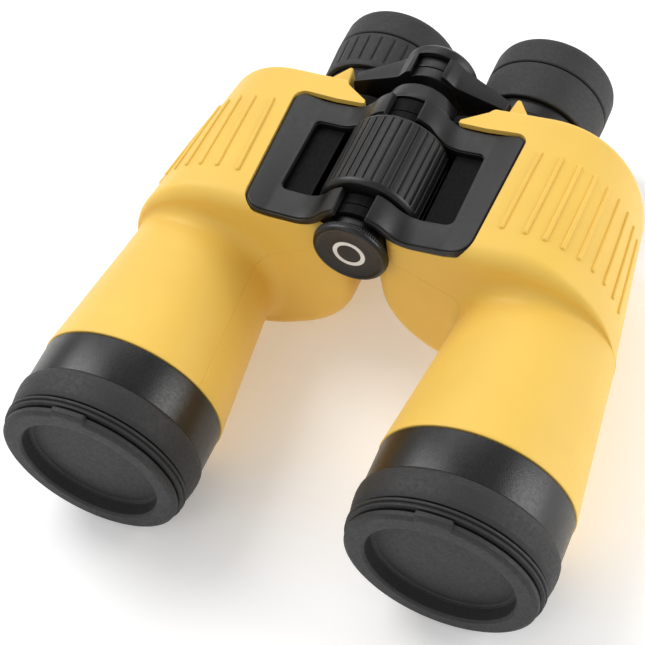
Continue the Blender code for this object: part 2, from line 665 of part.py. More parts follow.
def make_half(half, side):
    make_armour(half, side)
    make_housing(half, side)
    make_rear_cover(half, side)
    make_objective_end(half, side)
    make_prisms(half, side)
    make_plate(half, side)
    make_eyepiece(half, side)


def main():
    for half, side in HALVES.items():
        make_half(half, side)
    make_hinge()
    make_wheel()
    make_bridge()
    make_band("left_eyepiece_band", side_axis(EYEPIECE, 1), 0)
    make_band("dioptre_ring", side_axis(EYEPIECE, -1), DIOPTRE_GROOVES)


main()
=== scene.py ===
"""Smooth skins, trim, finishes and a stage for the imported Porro-prism binoculars.

Lengths in the makers are millimetres in the binoculars' own frame: X from the hinge towards the left
half, Y from the front of the objective caps to the eyecups, Z up from the hinge axis. Properties are
in metres or plain numbers. Every piece rides on the CAD body that carries the solid it stands for.
"""

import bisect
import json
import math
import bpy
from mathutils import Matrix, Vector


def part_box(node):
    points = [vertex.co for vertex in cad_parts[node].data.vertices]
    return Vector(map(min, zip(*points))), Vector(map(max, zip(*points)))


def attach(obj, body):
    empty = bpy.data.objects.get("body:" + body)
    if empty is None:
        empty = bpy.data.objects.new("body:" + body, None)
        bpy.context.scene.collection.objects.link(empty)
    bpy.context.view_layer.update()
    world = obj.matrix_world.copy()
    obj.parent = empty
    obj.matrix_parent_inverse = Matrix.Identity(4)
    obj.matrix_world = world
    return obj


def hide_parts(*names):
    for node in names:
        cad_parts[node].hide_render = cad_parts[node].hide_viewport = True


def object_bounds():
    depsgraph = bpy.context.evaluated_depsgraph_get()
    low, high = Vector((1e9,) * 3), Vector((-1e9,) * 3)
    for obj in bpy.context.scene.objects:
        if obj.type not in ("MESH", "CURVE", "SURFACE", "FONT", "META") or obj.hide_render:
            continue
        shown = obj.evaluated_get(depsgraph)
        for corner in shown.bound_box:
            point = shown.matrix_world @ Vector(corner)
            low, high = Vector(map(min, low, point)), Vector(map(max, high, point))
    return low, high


bl_info = {
    "name": "Binocular Maker",
    "version": (1, 0, 0),
    "blender": (4, 5, 0),
    "location": "View3D > Sidebar > Binoculars",
    "description": "Builds the armour, trim and finishes of Porro-prism binoculars round their frame",
    "category": "Object",
}

import bmesh
import bpy
from bpy.props import FloatProperty, FloatVectorProperty, IntProperty, PointerProperty
from mathutils import Matrix, Vector

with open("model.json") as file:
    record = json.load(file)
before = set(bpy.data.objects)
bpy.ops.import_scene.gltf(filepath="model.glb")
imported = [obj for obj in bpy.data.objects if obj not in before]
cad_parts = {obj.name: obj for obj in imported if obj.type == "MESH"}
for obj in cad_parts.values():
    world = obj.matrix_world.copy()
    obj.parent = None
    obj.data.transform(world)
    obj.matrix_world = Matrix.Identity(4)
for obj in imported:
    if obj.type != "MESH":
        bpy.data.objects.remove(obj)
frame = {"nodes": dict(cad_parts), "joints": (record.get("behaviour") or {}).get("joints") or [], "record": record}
CAD_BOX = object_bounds()

MM = 0.001
SIDES = {"left": 1, "right": -1}
JOINTS = {joint["name"]: joint for joint in frame["joints"]}
HINGE = Vector(JOINTS["interpupillary_fold"]["pos_m"])
TO_WORLD = Matrix.Translation((HINGE.x, CAD_BOX[0].y, HINGE.z)) @ Matrix.Diagonal((MM, MM, MM, 1))
TO_LOCAL = TO_WORLD.inverted()


def cad_corners(node):
    """The lowest and highest corner of a CAD node, in millimetres in the binoculars' frame."""
    low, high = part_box(node)
    return TO_LOCAL @ low, TO_LOCAL @ high


def cad_axis(node):
    """The (x, z) of the line along Y through the middle of a turned CAD node."""
    low, high = cad_corners(node)
    return ((low.x + high.x) / 2, (low.z + high.z) / 2)


def cad_span(node):
    low, high = cad_corners(node)
    return (low.y, high.y)


OBJECTIVE = cad_axis("left_objective_sleeve")
EYEPIECE = cad_axis("left_eyecup")
WHEEL_SPAN = cad_span("focus_wheel")
WHEEL_R = cad_corners("focus_wheel")[1].x
PLATE_SPAN = cad_span("left_frame_plate")
BRIDGE_SPAN = cad_span("left_bridge_arm")
BAND_SPAN = cad_span("dioptre_ring")
CUP_SPAN = cad_span("left_eyecup")
HINGE_AXIS = (0.0, 0.0)


# Sizes and colours that a user would change.


def length(name, description, millimetres):
    return FloatProperty(
        name=name,
        description=description,
        default=millimetres * MM,
        min=0.0,
        precision=5,
        subtype="DISTANCE",
        unit="LENGTH",
    )


def colour(name, description, value):
    return FloatVectorProperty(
        name=name, description=description, default=value, size=3, min=0.0, max=1.0, subtype="COLOR"
    )


def share(name, description, value):
    return FloatProperty(
        name=name, description=description, default=value, min=0.0, max=1.0, subtype="FACTOR"
    )


class BinocularSizes(bpy.types.PropertyGroup):
    """Sizes of the details that lie on the frame."""

    shoulder_rounding: length("Shoulder rounding", "Radius of the housing's front edge", 5.5)
    shoulder_fillet: length("Shoulder fillet", "Radius where the housing's front meets the tube", 6.0)
    rear_rounding: length("Rear rounding", "Radius of the housing's rear edge", 3.0)
    skin_thickness: length("Armour thickness", "Thickness of the rubber skin", 2.0)
    mould_line_depth: length("Mould line depth", "Depth of the fine groove along each tube", 0.16)
    rib_width: length("Rib width", "Width of a grip rib on the housing", 1.5)
    rib_height: length("Rib height", "How far a grip rib stands out", 0.95)
    plate_rounding: length("Plate edge rounding", "Radius of the top plate's upper edge", 0.4)
    plate_border: length("Plate border", "Width of the dark border round the top plate", 0.5)
    wheel_groove_depth: length("Wheel groove depth", "Depth of the focus wheel's grooves", 0.5)
    dioptre_groove_depth: length("Dioptre groove depth", "Depth of the dioptre ring's grooves", 0.6)
    knurl_depth: length("Knurl depth", "Depth of the socket cap's knurl", 0.3)
    mark_radius: length("Mark radius", "Outer radius of the ring mark on the socket cap", 5.6)
    rib_count: IntProperty(name="Ribs", description="Grip ribs on each housing", default=9, min=1, max=20)
    wheel_grooves: IntProperty(
        name="Wheel grooves", description="Grooves round the focus wheel", default=36, min=8, max=90
    )
    dioptre_grooves: IntProperty(
        name="Dioptre grooves", description="Grooves round the dioptre ring", default=28, min=8, max=90
    )
    knurls: IntProperty(name="Knurls", description="Teeth round the socket cap", default=90, min=12, max=200)


class BinocularColours(bpy.types.PropertyGroup):
    """Colours of the finishes."""

    armour: colour("Armour", "The rubber skin", (0.86, 0.555, 0.095))
    satin: colour("Satin black", "The painted objective sleeves", (0.004, 0.004, 0.0045))
    moulding: colour("Black moulding", "Top plates, bridge and focus wheel", (0.004, 0.004, 0.0045))
    rubber: colour("Black rubber", "Caps, bands and eyecups", (0.019, 0.019, 0.020))
    mark: colour("Ring mark", "The printed ring on the socket cap", (0.85, 0.85, 0.85))
    floor: colour("Floor", "The stage", (0.93, 0.93, 0.93))
    armour_sheen: share("Armour sheen", "Soft sheen on the rubber skin", 0.12)


# Profiles and curves.


def mix(a, b, part):
    return a + (b - a) * part


def arc(centre, radius, start, end, count):
    """Points on a circle between two angles in degrees; radius may be one number or an (x, z) pair."""
    rx, rz = radius if isinstance(radius, tuple) else (radius, radius)
    angles = [math.radians(mix(start, end, i / (count - 1))) for i in range(count)]
    return [(centre[0] + rx * math.cos(a), centre[1] + rz * math.sin(a)) for a in angles]


def softened(profile, radius=0.3, steps=4):
    """Rounds the corners of a closed outline. A point may carry a radius of its own as a third number."""
    result = []
    for i, point in enumerate(profile):
        here = Vector(point[:2])
        wanted = point[2] if len(point) > 2 else radius
        before = Vector(profile[i - 1][:2]) - here
        after = Vector(profile[(i + 1) % len(profile)][:2]) - here
        turn = before.angle(after, math.pi)
        if wanted <= 0 or turn > math.radians(174) or turn < math.radians(2):
            result.append(tuple(here))
            continue
        reach = min(wanted / math.tan(turn / 2), 0.45 * before.length, 0.45 * after.length)
        start, end = here + before.normalized() * reach, here + after.normalized() * reach
        for step in range(steps + 1):
            t = step / steps
            result.append(tuple((1 - t) ** 2 * start + 2 * t * (1 - t) * here + t * t * end))
    return result


def thinned(profile):
    """Softens a turned profile but leaves its points on the axis where they are."""
    return softened([(*p[:2], 0.0) if p[0] < 1e-6 else p for p in profile])


def table_reader(pairs, period):
    """A function that reads a value between sorted (angle, value) pairs that repeat with a period."""
    pairs = sorted(pairs)
    pairs = [(pairs[-1][0] - period, pairs[-1][1])] + pairs + [(pairs[0][0] + period, pairs[0][1])]
    keys = [key for key, _ in pairs]

    def read(key):
        at = min(max(bisect.bisect_right(keys, key % period), 1), len(keys) - 1)
        (k0, v0), (k1, v1) = pairs[at - 1], pairs[at]
        return mix(v0, v1, (key % period - k0) / max(k1 - k0, 1e-9))

    return read


# Meshes.


def mesh_object(name, bm, material=None, sharp=35.0):
    """An object from a mesh in millimetres; smooth, with edges sharp above an angle in degrees."""
    bmesh.ops.remove_doubles(bm, verts=bm.verts, dist=1e-4)
    bmesh.ops.recalc_face_normals(bm, faces=bm.faces)
    bm.transform(TO_WORLD)
    mesh = bpy.data.meshes.new(name)
    bm.to_mesh(mesh)
    bm.free()
    obj = bpy.data.objects.new(name, mesh)
    bpy.context.scene.collection.objects.link(obj)
    if material:
        mesh.materials.append(material)
    mesh.shade_smooth()
    mesh.set_sharp_from_angle(angle=math.radians(sharp))
    return obj


def combined(target, operation, *others, sharp=35.0):
    """Applies a Boolean with each other object, and removes them."""
    for other in others:
        modifier = target.modifiers.new(operation.lower(), "BOOLEAN")
        modifier.operation = operation
        modifier.solver = "MANIFOLD"
        modifier.object = other
        applied(target)
        bpy.data.objects.remove(other, do_unlink=True)
    slots = target.data.materials
    if any(slots) and None in list(slots):
        # A cutter with no material leaves an empty slot; its faces take the target's own.
        target.data.polygons.foreach_set("material_index", [0] * len(target.data.polygons))
        while len(slots) > 1:
            slots.pop(index=len(slots) - 1)
    target.data.shade_smooth()
    target.data.set_sharp_from_angle(angle=math.radians(sharp))
    return target


def applied(obj):
    """Puts an object's modifiers into its mesh."""
    graph = bpy.context.evaluated_depsgraph_get()
    mesh = bpy.data.meshes.new_from_object(obj.evaluated_get(graph))
    obj.modifiers.clear()
    old, obj.data = obj.data, mesh
    mesh.name = old.name
    bpy.data.meshes.remove(old)
    return obj


def bevelled(obj, width, angle=40.0, segments=3, sharp=35.0):
    """Rounds an object's edges that are sharper than an angle, by a width in millimetres."""
    modifier = obj.modifiers.new("edges", "BEVEL")
    modifier.width = width * MM
    modifier.segments = segments
    modifier.limit_method = "ANGLE"
    modifier.angle_limit = math.radians(angle)
    modifier.use_clamp_overlap = True
    modifier.harden_normals = False
    applied(obj)
    obj.data.shade_smooth()
    obj.data.set_sharp_from_angle(angle=math.radians(sharp))
    return obj


def set_in_place(obj, body, nodes):
    """Rides a finished piece on its body and hides the CAD nodes it stands for."""
    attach(obj, body)
    if nodes:
        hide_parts(*nodes)
    return obj


def skinned(bm, rows, closed=True):
    """Faces between rows of vertices, each a closed loop; closed also joins the last row to the first."""
    pairs = list(zip(rows, rows[1:] + rows[:1] if closed else rows[1:]))
    for first, second in pairs:
        for i in range(len(first)):
            j = (i + 1) % len(first)
            bm.faces.new((first[i], first[j], second[j], second[i]))


def turned(name, axis, profile, material, steps=144, swell=None):
    """Turns a closed profile of (radius, y) about a line along Y; swell adds to the radius by angle."""
    bm = bmesh.new()
    columns = []
    for i in range(steps):
        angle = math.tau * i / steps
        column = []
        for radius, y in profile:
            r = radius + (swell(angle, radius, y) if swell else 0.0)
            column.append(bm.verts.new((axis[0] + r * math.cos(angle), y, axis[1] + r * math.sin(angle))))
        columns.append(column)
    for i in range(steps):
        a, b = columns[i], columns[(i + 1) % steps]
        for k in range(len(profile)):
            m = (k + 1) % len(profile)
            if profile[k][0] > 1e-6 or profile[m][0] > 1e-6:
                bm.faces.new((a[k], a[m], b[m], b[k]))
    return mesh_object(name, bm, material)


def prism(name, outline, start, end, material=None, along="y"):
    """Pushes a flat outline along Y, from (x, z) points, or along Z, from (x, y) points."""
    bm = bmesh.new()
    if along == "y":
        rows = [[bm.verts.new((x, level, z)) for x, z in outline] for level in (start, end)]
    else:
        rows = [[bm.verts.new((x, y, level)) for x, y in outline] for level in (start, end)]
    skinned(bm, rows, closed=False)
    bm.faces.new(rows[0])
    bm.faces.new(rows[1])
    return mesh_object(name, bm, material)


def rod(name, axis, radius, span, steps=96):
    return prism(name, arc(axis, radius, 0, 360 - 360 / steps, steps), *span)


GROOVE_SHAPE = ((-1.3, 0.0), (-1.0, 0.12), (-0.72, 0.72), (-0.36, 1.0),
                (0.36, 1.0), (0.72, 0.72), (1.0, 0.12), (1.3, 0.0))
LAND_SHAPE = ((0.3, 0.0), (0.5, 0.0), (0.7, 0.0))


def groove_angles(count, width, radius):
    """(angle, depth share) pairs round a ring with count grooves of a width in millimetres."""
    pitch = math.tau / count
    half = width / 2 / radius
    pairs = []
    for i in range(count):
        centre = pitch * i
        pairs += [(centre + offset * half, depth) for offset, depth in GROOVE_SHAPE]
        left, right = centre + 1.3 * half, centre + pitch - 1.3 * half
        pairs += [(mix(left, right, part), depth) for part, depth in LAND_SHAPE]
    return pairs


def fluted(name, axis, sections, pattern, depth, material):
    """A ring from (radius, y, groove share) sections in a closed loop, grooved round its outside."""
    bm = bmesh.new()
    rows = []
    for radius, y, part in sections:
        row = []
        for angle, groove in pattern:
            r = radius - depth * groove * part
            row.append(bm.verts.new((axis[0] + r * math.cos(angle), y, axis[1] + r * math.sin(angle))))
        rows.append(row)
    skinned(bm, rows)
    return mesh_object(name, bm, material)


# Finishes.


class Finish:
    """A node material put together step by step."""

    def __init__(self, name, base, roughness, metallic=0.0):
        self.material = bpy.data.materials.new(name)
        self.material.use_nodes = True
        self.tree = self.material.node_tree
        self.shader = self.tree.nodes["Principled BSDF"]
        self.shader.inputs["Base Color"].default_value = (*base, 1.0)
        self.shader.inputs["Roughness"].default_value = roughness
        self.shader.inputs["Metallic"].default_value = metallic
        self.material.diffuse_color = (*base, 1.0)
        self.place = self.node("ShaderNodeTexCoord").outputs["Object"]
        self.bumps = None

    def node(self, kind, **settings):
        made = self.tree.nodes.new(kind)
        for key, value in settings.items():
            if key in made.inputs:
                made.inputs[key].default_value = value
            else:
                setattr(made, key, value)
        return made

    def noise(self, per_metre, detail=3.0, rough=0.55, stretch=None):
        """Noise with so many features to the metre; stretch scales the place along each axis."""
        made = self.node("ShaderNodeTexNoise", Scale=per_metre, Detail=detail, Roughness=rough)
        place = self.place
        if stretch:
            mapping = self.node("ShaderNodeMapping")
            mapping.inputs["Scale"].default_value = stretch
            self.tree.links.new(place, mapping.inputs["Vector"])
            place = mapping.outputs["Vector"]
        self.tree.links.new(place, made.inputs["Vector"])
        return made.outputs["Fac"]

    def spread(self, value, low, high, near=0.35, far=0.65):
        made = self.node("ShaderNodeMapRange")
        for key, number in (("From Min", near), ("From Max", far), ("To Min", low), ("To Max", high)):
            made.inputs[key].default_value = number
        self.tree.links.new(value, made.inputs["Value"])
        return made.outputs["Result"]

    def mottled(self, base, amount, value, warm=0.0):
        """Lets the colour drift a little either side of its base; warm shifts the dark end to red."""
        low = (base[0] * (1 - amount), base[1] * (1 - amount - warm), base[2] * (1 - amount - 2 * warm))
        high = tuple(min(1.0, channel * (1 + amount)) for channel in base)
        ramp = self.node("ShaderNodeValToRGB")
        ramp.color_ramp.elements[0].position = 0.3
        ramp.color_ramp.elements[1].position = 0.7
        ramp.color_ramp.elements[0].color = (*[max(0.0, c) for c in low], 1.0)
        ramp.color_ramp.elements[1].color = (*high, 1.0)
        self.tree.links.new(value, ramp.inputs["Fac"])
        self.tree.links.new(ramp.outputs["Color"], self.shader.inputs["Base Color"])
        return self

    def roughened(self, low, high, value):
        self.tree.links.new(self.spread(value, low, high), self.shader.inputs["Roughness"])
        return self

    def bumped(self, value, depth, strength=1.0):
        """Adds a surface grain so many millimetres deep on top of any other."""
        bump = self.node("ShaderNodeBump", Strength=strength, Distance=depth * MM)
        self.tree.links.new(value, bump.inputs["Height"])
        if self.bumps:
            self.tree.links.new(self.bumps, bump.inputs["Normal"])
        self.bumps = bump.outputs["Normal"]
        self.tree.links.new(self.bumps, self.shader.inputs["Normal"])
        return self

    def cells(self, per_metre):
        made = self.node("ShaderNodeTexVoronoi", Scale=per_metre)
        self.tree.links.new(self.place, made.inputs["Vector"])
        return made.outputs["Distance"]


def armour_finish(colours):
    base = tuple(colours.armour)
    finish = Finish("armour_rubber", base, 0.5)
    finish.mottled(base, 0.035, finish.noise(28.0, 2.0), 0.01)
    finish.roughened(0.44, 0.56, finish.noise(650.0))
    finish.bumped(finish.noise(2300.0, 2.0), 0.030)
    finish.bumped(finish.cells(3100.0), 0.016)
    finish.bumped(finish.noise(90.0, 2.0), 0.030)
    finish.shader.inputs["Sheen Weight"].default_value = colours.armour_sheen
    finish.shader.inputs["Sheen Roughness"].default_value = 0.45
    finish.shader.inputs["Specular IOR Level"].default_value = 0.42
    return finish.material


def moulded_finish(name, base, low, high, grain, depth, specular=0.5):
    """Satin to matt moulded plastic or paint with a fine even grain."""
    finish = Finish(name, base, (low + high) / 2)
    finish.mottled(base, 0.10, finish.noise(220.0, 3.0))
    finish.roughened(low, high, finish.noise(900.0))
    finish.bumped(finish.noise(grain, 2.0), depth)
    finish.bumped(finish.cells(grain * 0.8), depth * 0.6)
    finish.shader.inputs["Specular IOR Level"].default_value = specular
    return finish.material


def turned_finish(name, base, low, high):
    """Turned metal with fine rings left by the tool, which run round the Y axis."""
    finish = Finish(name, base, (low + high) / 2, 1.0)
    finish.mottled(base, 0.06, finish.noise(160.0))
    finish.roughened(low, high, finish.noise(700.0, 3.0, 0.6, (0.2, 6.0, 0.2)))
    finish.bumped(finish.noise(900.0, 2.0, 0.5, (0.1, 5.0, 0.1)), 0.010)
    return finish.material


def glass_finish(name, tint, ior):
    """Coated glass: clear, with a coloured reflection."""
    finish = Finish(name, tint, 0.03)
    finish.shader.inputs["Transmission Weight"].default_value = 0.9
    finish.shader.inputs["IOR"].default_value = ior
    finish.shader.inputs["Coat Weight"].default_value = 0.6
    finish.shader.inputs["Coat Roughness"].default_value = 0.03
    finish.shader.inputs["Coat Tint"].default_value = (*tint, 1.0)
    finish.roughened(0.02, 0.05, finish.noise(60.0))
    return finish.material


FINISHES = {}


def make_finishes(colours):
    """Every material, by the name of the record's slot that it shows."""
    satin, moulding, rubber = tuple(colours.satin), tuple(colours.moulding), tuple(colours.rubber)
    FINISHES["armour"] = armour_finish(colours)
    FINISHES["black_satin"] = moulded_finish("sleeve_paint", satin, 0.28, 0.38, 2600.0, 0.030)
    FINISHES["black_plastic"] = moulded_finish("black_moulding", moulding, 0.33, 0.43, 2400.0, 0.020)
    FINISHES["black_rubber"] = moulded_finish("black_rubber", rubber, 0.56, 0.70, 1900.0, 0.035)
    deep_black = (0.003, 0.003, 0.003)
    FINISHES["housing"] = moulded_finish("housing_moulding", deep_black, 0.55, 0.70, 1800.0, 0.02, 0.12)
    FINISHES["anodised"] = turned_finish("black_anodising", (0.05, 0.05, 0.055), 0.30, 0.45)
    FINISHES["steel"] = turned_finish("ground_steel", (0.56, 0.56, 0.57), 0.22, 0.36)
    FINISHES["brass"] = turned_finish("turned_brass", (0.76, 0.58, 0.28), 0.22, 0.34)
    FINISHES["coated_glass"] = glass_finish("coated_lens", (0.45, 0.32, 0.78), 1.6)
    FINISHES["prism_glass"] = glass_finish("prism_glass", (0.82, 0.88, 0.88), 1.57)
    FINISHES["mark"] = moulded_finish("ring_print", tuple(colours.mark), 0.40, 0.52, 1500.0, 0.01)


# The housing's outline and the armour.

HOUSING_SPAN = (90.0, 153.0)
HOUSING_TOP = 8.7
HOUSING_BOTTOM = -58.0
HOUSING_INNER = 5.0
HOUSING_FULLNESS = 2.2
UNDER_ROUNDING = (39.5, 34.0)
REAR_CORNER = ((0.0, 132.0), (14.8, 132.0), (17.3, 144.3), (25.5, 149.6),
               (28.6, 154.5), (28.6, 166.0), (0.0, 166.0))
TUBE_STATIONS = ((30.0, 32.75), (32.2, 32.5), (45.0, 31.05), (60.0, 29.4), (75.0, 27.7), (97.0, 25.5))
RIB_SPAN = (103.0, 136.0)
MOULD_LINE_ANGLE = math.radians(151.5)


def tube_radius(y):
    for (y0, r0), (y1, r1) in zip(TUBE_STATIONS, TUBE_STATIONS[1:]):
        if y <= y1:
            return mix(r0, r1, (y - y0) / (y1 - y0))
    return TUBE_STATIONS[-1][1]


def outer_curve(y):
    """The centre and the outward half axis of the housing's outer side at station y."""
    part = (y - HOUSING_SPAN[0]) / (HOUSING_SPAN[1] - HOUSING_SPAN[0])
    outer, centre = mix(86.2, 77.4, part), mix(50.5, 46.5, part)
    return centre, outer - centre


def outer_point(y, degrees, inset=0.0):
    """A point on the housing's outer side at station y, which is a little boxier than an ellipse."""
    centre, across = outer_curve(y)
    power = 2 / HOUSING_FULLNESS
    c, s = math.cos(math.radians(degrees)), math.sin(math.radians(degrees))
    middle = OBJECTIVE[1]
    reach = (HOUSING_TOP - middle if s > 0 else middle - HOUSING_BOTTOM) - inset
    x = centre + (across - inset) * math.copysign(abs(c) ** power, c)
    return (x, middle + reach * math.copysign(abs(s) ** power, s))


def housing_outline(y, inset):
    """The left housing's outline at station y, as (x, z) points, moved in by inset."""
    outside = [outer_point(y, 90 - 2 * i, inset) for i in range(91)]
    across, up = UNDER_ROUNDING
    middle = (HOUSING_INNER + across, HOUSING_BOTTOM + up)
    corner = arc(middle, (across - inset, up - inset), -90, -180, 48)
    shoulder = arc((HOUSING_INNER + 13, -5.2), 13 - inset, 180, 90, 24)
    return filled_gaps(outside + corner + shoulder)


def filled_gaps(points, widest=1.5):
    """Adds points to the long straight runs of a closed outline."""
    result = []
    for a, b in zip(points, points[1:] + points[:1]):
        count = max(1, math.ceil(math.dist(a, b) / widest))
        result += [(mix(a[0], b[0], i / count), mix(a[1], b[1], i / count)) for i in range(count)]
    return result


def reach_table(outline):
    """How far the outline lies from the objective's axis, by angle."""
    pairs = []
    for x, z in outline:
        dx, dz = x - OBJECTIVE[0], z - OBJECTIVE[1]
        pairs.append((math.atan2(dz, dx) % math.tau, math.hypot(dx, dz)))
    return table_reader(pairs, math.tau)


def skin_rows(sizes, inset, open_front):
    """For each ring of the armour, a function that gives (y, radius) at an angle."""
    face, rear = HOUSING_SPAN[0] + inset, HOUSING_SPAN[1] - inset
    fillet, rounding = sizes.shoulder_fillet / MM + inset, max(sizes.shoulder_rounding / MM - inset, 1.0)
    back = max(sizes.rear_rounding / MM - inset, 1.0)
    at_face = reach_table(housing_outline(face, inset))
    shrink = reach_table(housing_outline(face, inset + 3.0))
    turns = [math.tau * k / 360 for k in range(360)]
    slope = table_reader([(a, (at_face(a) - shrink(a)) / 3) for a in turns], math.tau)
    middle = [reach_table(housing_outline(mix(face, rear, k / 12), inset)) for k in range(13)]

    def reach(angle, y):
        """The housing's reach, or the tube's where that runs on into the housing and is wider."""
        place = min(max((y - face) / (rear - face), 0.0), 1.0) * 12
        low = min(int(place), 11)
        tube = tube_radius(face) - inset + 0.1 - 0.22 * max(y - face, 0.0)
        return max(mix(middle[low](angle), middle[low + 1](angle), place - low), tube)

    def step(angle):
        """The height of the shoulder, the fillet and the rounding at an angle."""
        height = reach(angle, face) - (tube_radius(face) - inset)
        concave = min(fillet, 0.46 * height)
        convex = min(rounding * slope(angle), 0.46 * height)
        return concave, convex

    front = 28.0 if open_front else TUBE_STATIONS[1][0]
    rows = [lambda a: (front, 0.0), lambda a: (front, 14.0)]
    if open_front:
        rows.append(lambda a: (front, tube_radius(front) - inset))
    else:
        lip = tube_radius(front)
        rows += [lambda a: (front, lip - 3.0), lambda a: (front, lip - 0.5)]
        rows += [lambda a: (front + 0.12, lip - 0.15)]
        rows += [lambda a: (front + 0.42, lip - 0.02)]
    for k in range(18):
        def along_tube(a, k=k):
            y = mix(front + 1.2, face - step(a)[0], k / 17)
            return y, tube_radius(y) - inset
        rows.append(along_tube)
    for k in range(1, 11):
        def in_fillet(a, k=k):
            concave, turn = step(a)[0], math.radians(90 * k / 10)
            y = face - concave + concave * math.sin(turn)
            return y, tube_radius(y) - inset + concave * (1 - math.cos(turn))
        rows.append(in_fillet)
    for k in range(1, 6):
        def on_face(a, k=k):
            concave, convex = step(a)
            low = tube_radius(face) - inset + concave
            return face, mix(low, reach(a, face) - convex, k / 6)
        rows.append(on_face)
    for k in range(11):
        def round_edge(a, k=k):
            convex, turn = step(a)[1], math.radians(90 * k / 10)
            y = face + convex / max(slope(a), 1.0) * (1 - math.cos(turn))
            return y, reach(a, y) - convex * (1 - math.sin(turn))
        rows.append(round_edge)
    for k in range(1, 25):
        def along_side(a, k=k):
            start = face + step(a)[1] / max(slope(a), 1.0)
            y = mix(start, rear - back, k / 24)
            return y, reach(a, y)
        rows.append(along_side)
    for k in range(1, 9):
        def round_back(a, k=k):
            turn = math.radians(90 * k / 8)
            y = rear - back * (1 - math.sin(turn))
            return y, reach(a, y) - slope(a) * back * (1 - math.cos(turn))
        rows.append(round_back)
    for part in (0.8, 0.6, 0.4, 0.2, 0.0):
        rows.append(lambda a, part=part: (rear, (reach(a, rear) - slope(a) * back) * part))
    return rows


def skin_angles(count, line_width=0.0):
    """Angles round the tube; finer ones either side of the mould line if it has a width."""
    angles = [math.tau * i / count for i in range(count)]
    if not line_width:
        return [(a, 0.0) for a in angles]
    half = line_width / 2 / tube_radius(60)
    near = [a for a in angles if abs(a - MOULD_LINE_ANGLE) > 3.0 * half]
    shape = ((-2.2, 0.0), (-1.0, 0.0), (-0.35, 0.9), (0, 1.0), (0.35, 0.9), (1.0, 0.0), (2.2, 0.0))
    fine = [(MOULD_LINE_ANGLE + offset * half, depth) for offset, depth in shape]
    return sorted([(a, 0.0) for a in near] + fine)


def skin_solid(name, sizes, inset, count, open_front=False, line_width=0.0, material=None):
    """A solid with the armour's outside, for the left half, moved in by inset."""
    bm = bmesh.new()
    angles = skin_angles(count, line_width)
    depth = sizes.mould_line_depth / MM
    rings = []
    for row in skin_rows(sizes, inset, open_front):
        ring = []
        for angle, groove in angles:
            y, radius = row(angle)
            in_reach = 33.0 < y < HOUSING_SPAN[0] + 5.0
            if groove and in_reach:
                radius -= groove * depth * (1.0 if y < HOUSING_SPAN[0] - 0.5 else 0.0)
                y += groove * depth * (1.0 if y >= HOUSING_SPAN[0] - 3.0 else 0.0)
            ring.append(bm.verts.new((OBJECTIVE[0] + radius * math.cos(angle), y,
                                      OBJECTIVE[1] + radius * math.sin(angle))))
        rings.append(ring)
    skinned(bm, rings, closed=False)
    return mesh_object(name, bm, material)


PLATE_INNER = 6.0
PLATE_R = 16.0
PLATE_FILLET = 12.0
PLATE_FLAT_Z = 6.5
PLATE_OUTER = (41.4, 8.4)
PLATE_THICK = 2.6
WINDOW = (30.0, 101.0, 132.2)
GAP = 0.3


def plate_curve(drop):
    """The top plate's upper surface as (x, z), moved down by drop, from the hinge outwards."""
    reach = PLATE_R + PLATE_FILLET
    rise = PLATE_FLAT_Z + PLATE_FILLET
    across = math.sqrt(reach**2 - rise**2)
    meet = math.degrees(math.atan2(rise, across))
    end = math.degrees(math.acos(PLATE_INNER / PLATE_R))
    hump = arc((0, 0), PLATE_R - drop, end, meet, 20)
    fillet = arc((across, rise), PLATE_FILLET + drop, meet + 180, 270, 20)[1:]
    flat = [(31.0, PLATE_FLAT_Z + 0.2), (36.0, PLATE_FLAT_Z + 0.95)]
    flat += [(PLATE_OUTER[0] + 2, PLATE_OUTER[1] + 0.25)]
    return hump + fillet + [(x, z - drop) for x, z in flat]


def corner(point, radius, start, count=8):
    """A quarter circle inside a square corner, as seen in plan, turning anticlockwise."""
    cx = point[0] - radius * (1 if start in (0, 270) else -1)
    cy = point[1] - radius * (1 if start in (0, 90) else -1)
    return arc((cx, cy), radius, start, start + 90, count)


def plate_edge(grow):
    """The outer side of the top plate in plan, from the front of the hinge round to its rear."""
    x1 = PLATE_OUTER[0] + grow
    front, rear = PLATE_SPAN
    outline = [(14.0, front - grow)]
    outline += corner((x1 - 1.8, front + 0.6 - grow), 6.0 + grow, 270)
    outline += corner((x1, rear - 2.2 + grow), 3.6 + grow, 0)
    outline += [(27.0, rear - 2.6 + grow), (18.0, rear - 2.2 + grow), (13.0, rear - 0.9 + grow)]
    return outline


def plate_window(grow):
    """The inner side of the plate's C in plan, from the rear arm round the window to the front arm."""
    window, y0, y1 = WINDOW[0] - grow, WINDOW[1] + grow, WINDOW[2] - grow
    outline = [(PLATE_INNER, y1 + 2.6), (10.5, y1 + 2.4), (16.0, y1 + 0.5), (21.0, y1)]
    outline += list(reversed(corner((window, y1), 2.0, 0)))
    outline += list(reversed(corner((window, y0), 2.6, 270)))
    outline += [(17.0, y0 - 0.4), (PLATE_INNER, y0 - 0.4)]
    return outline


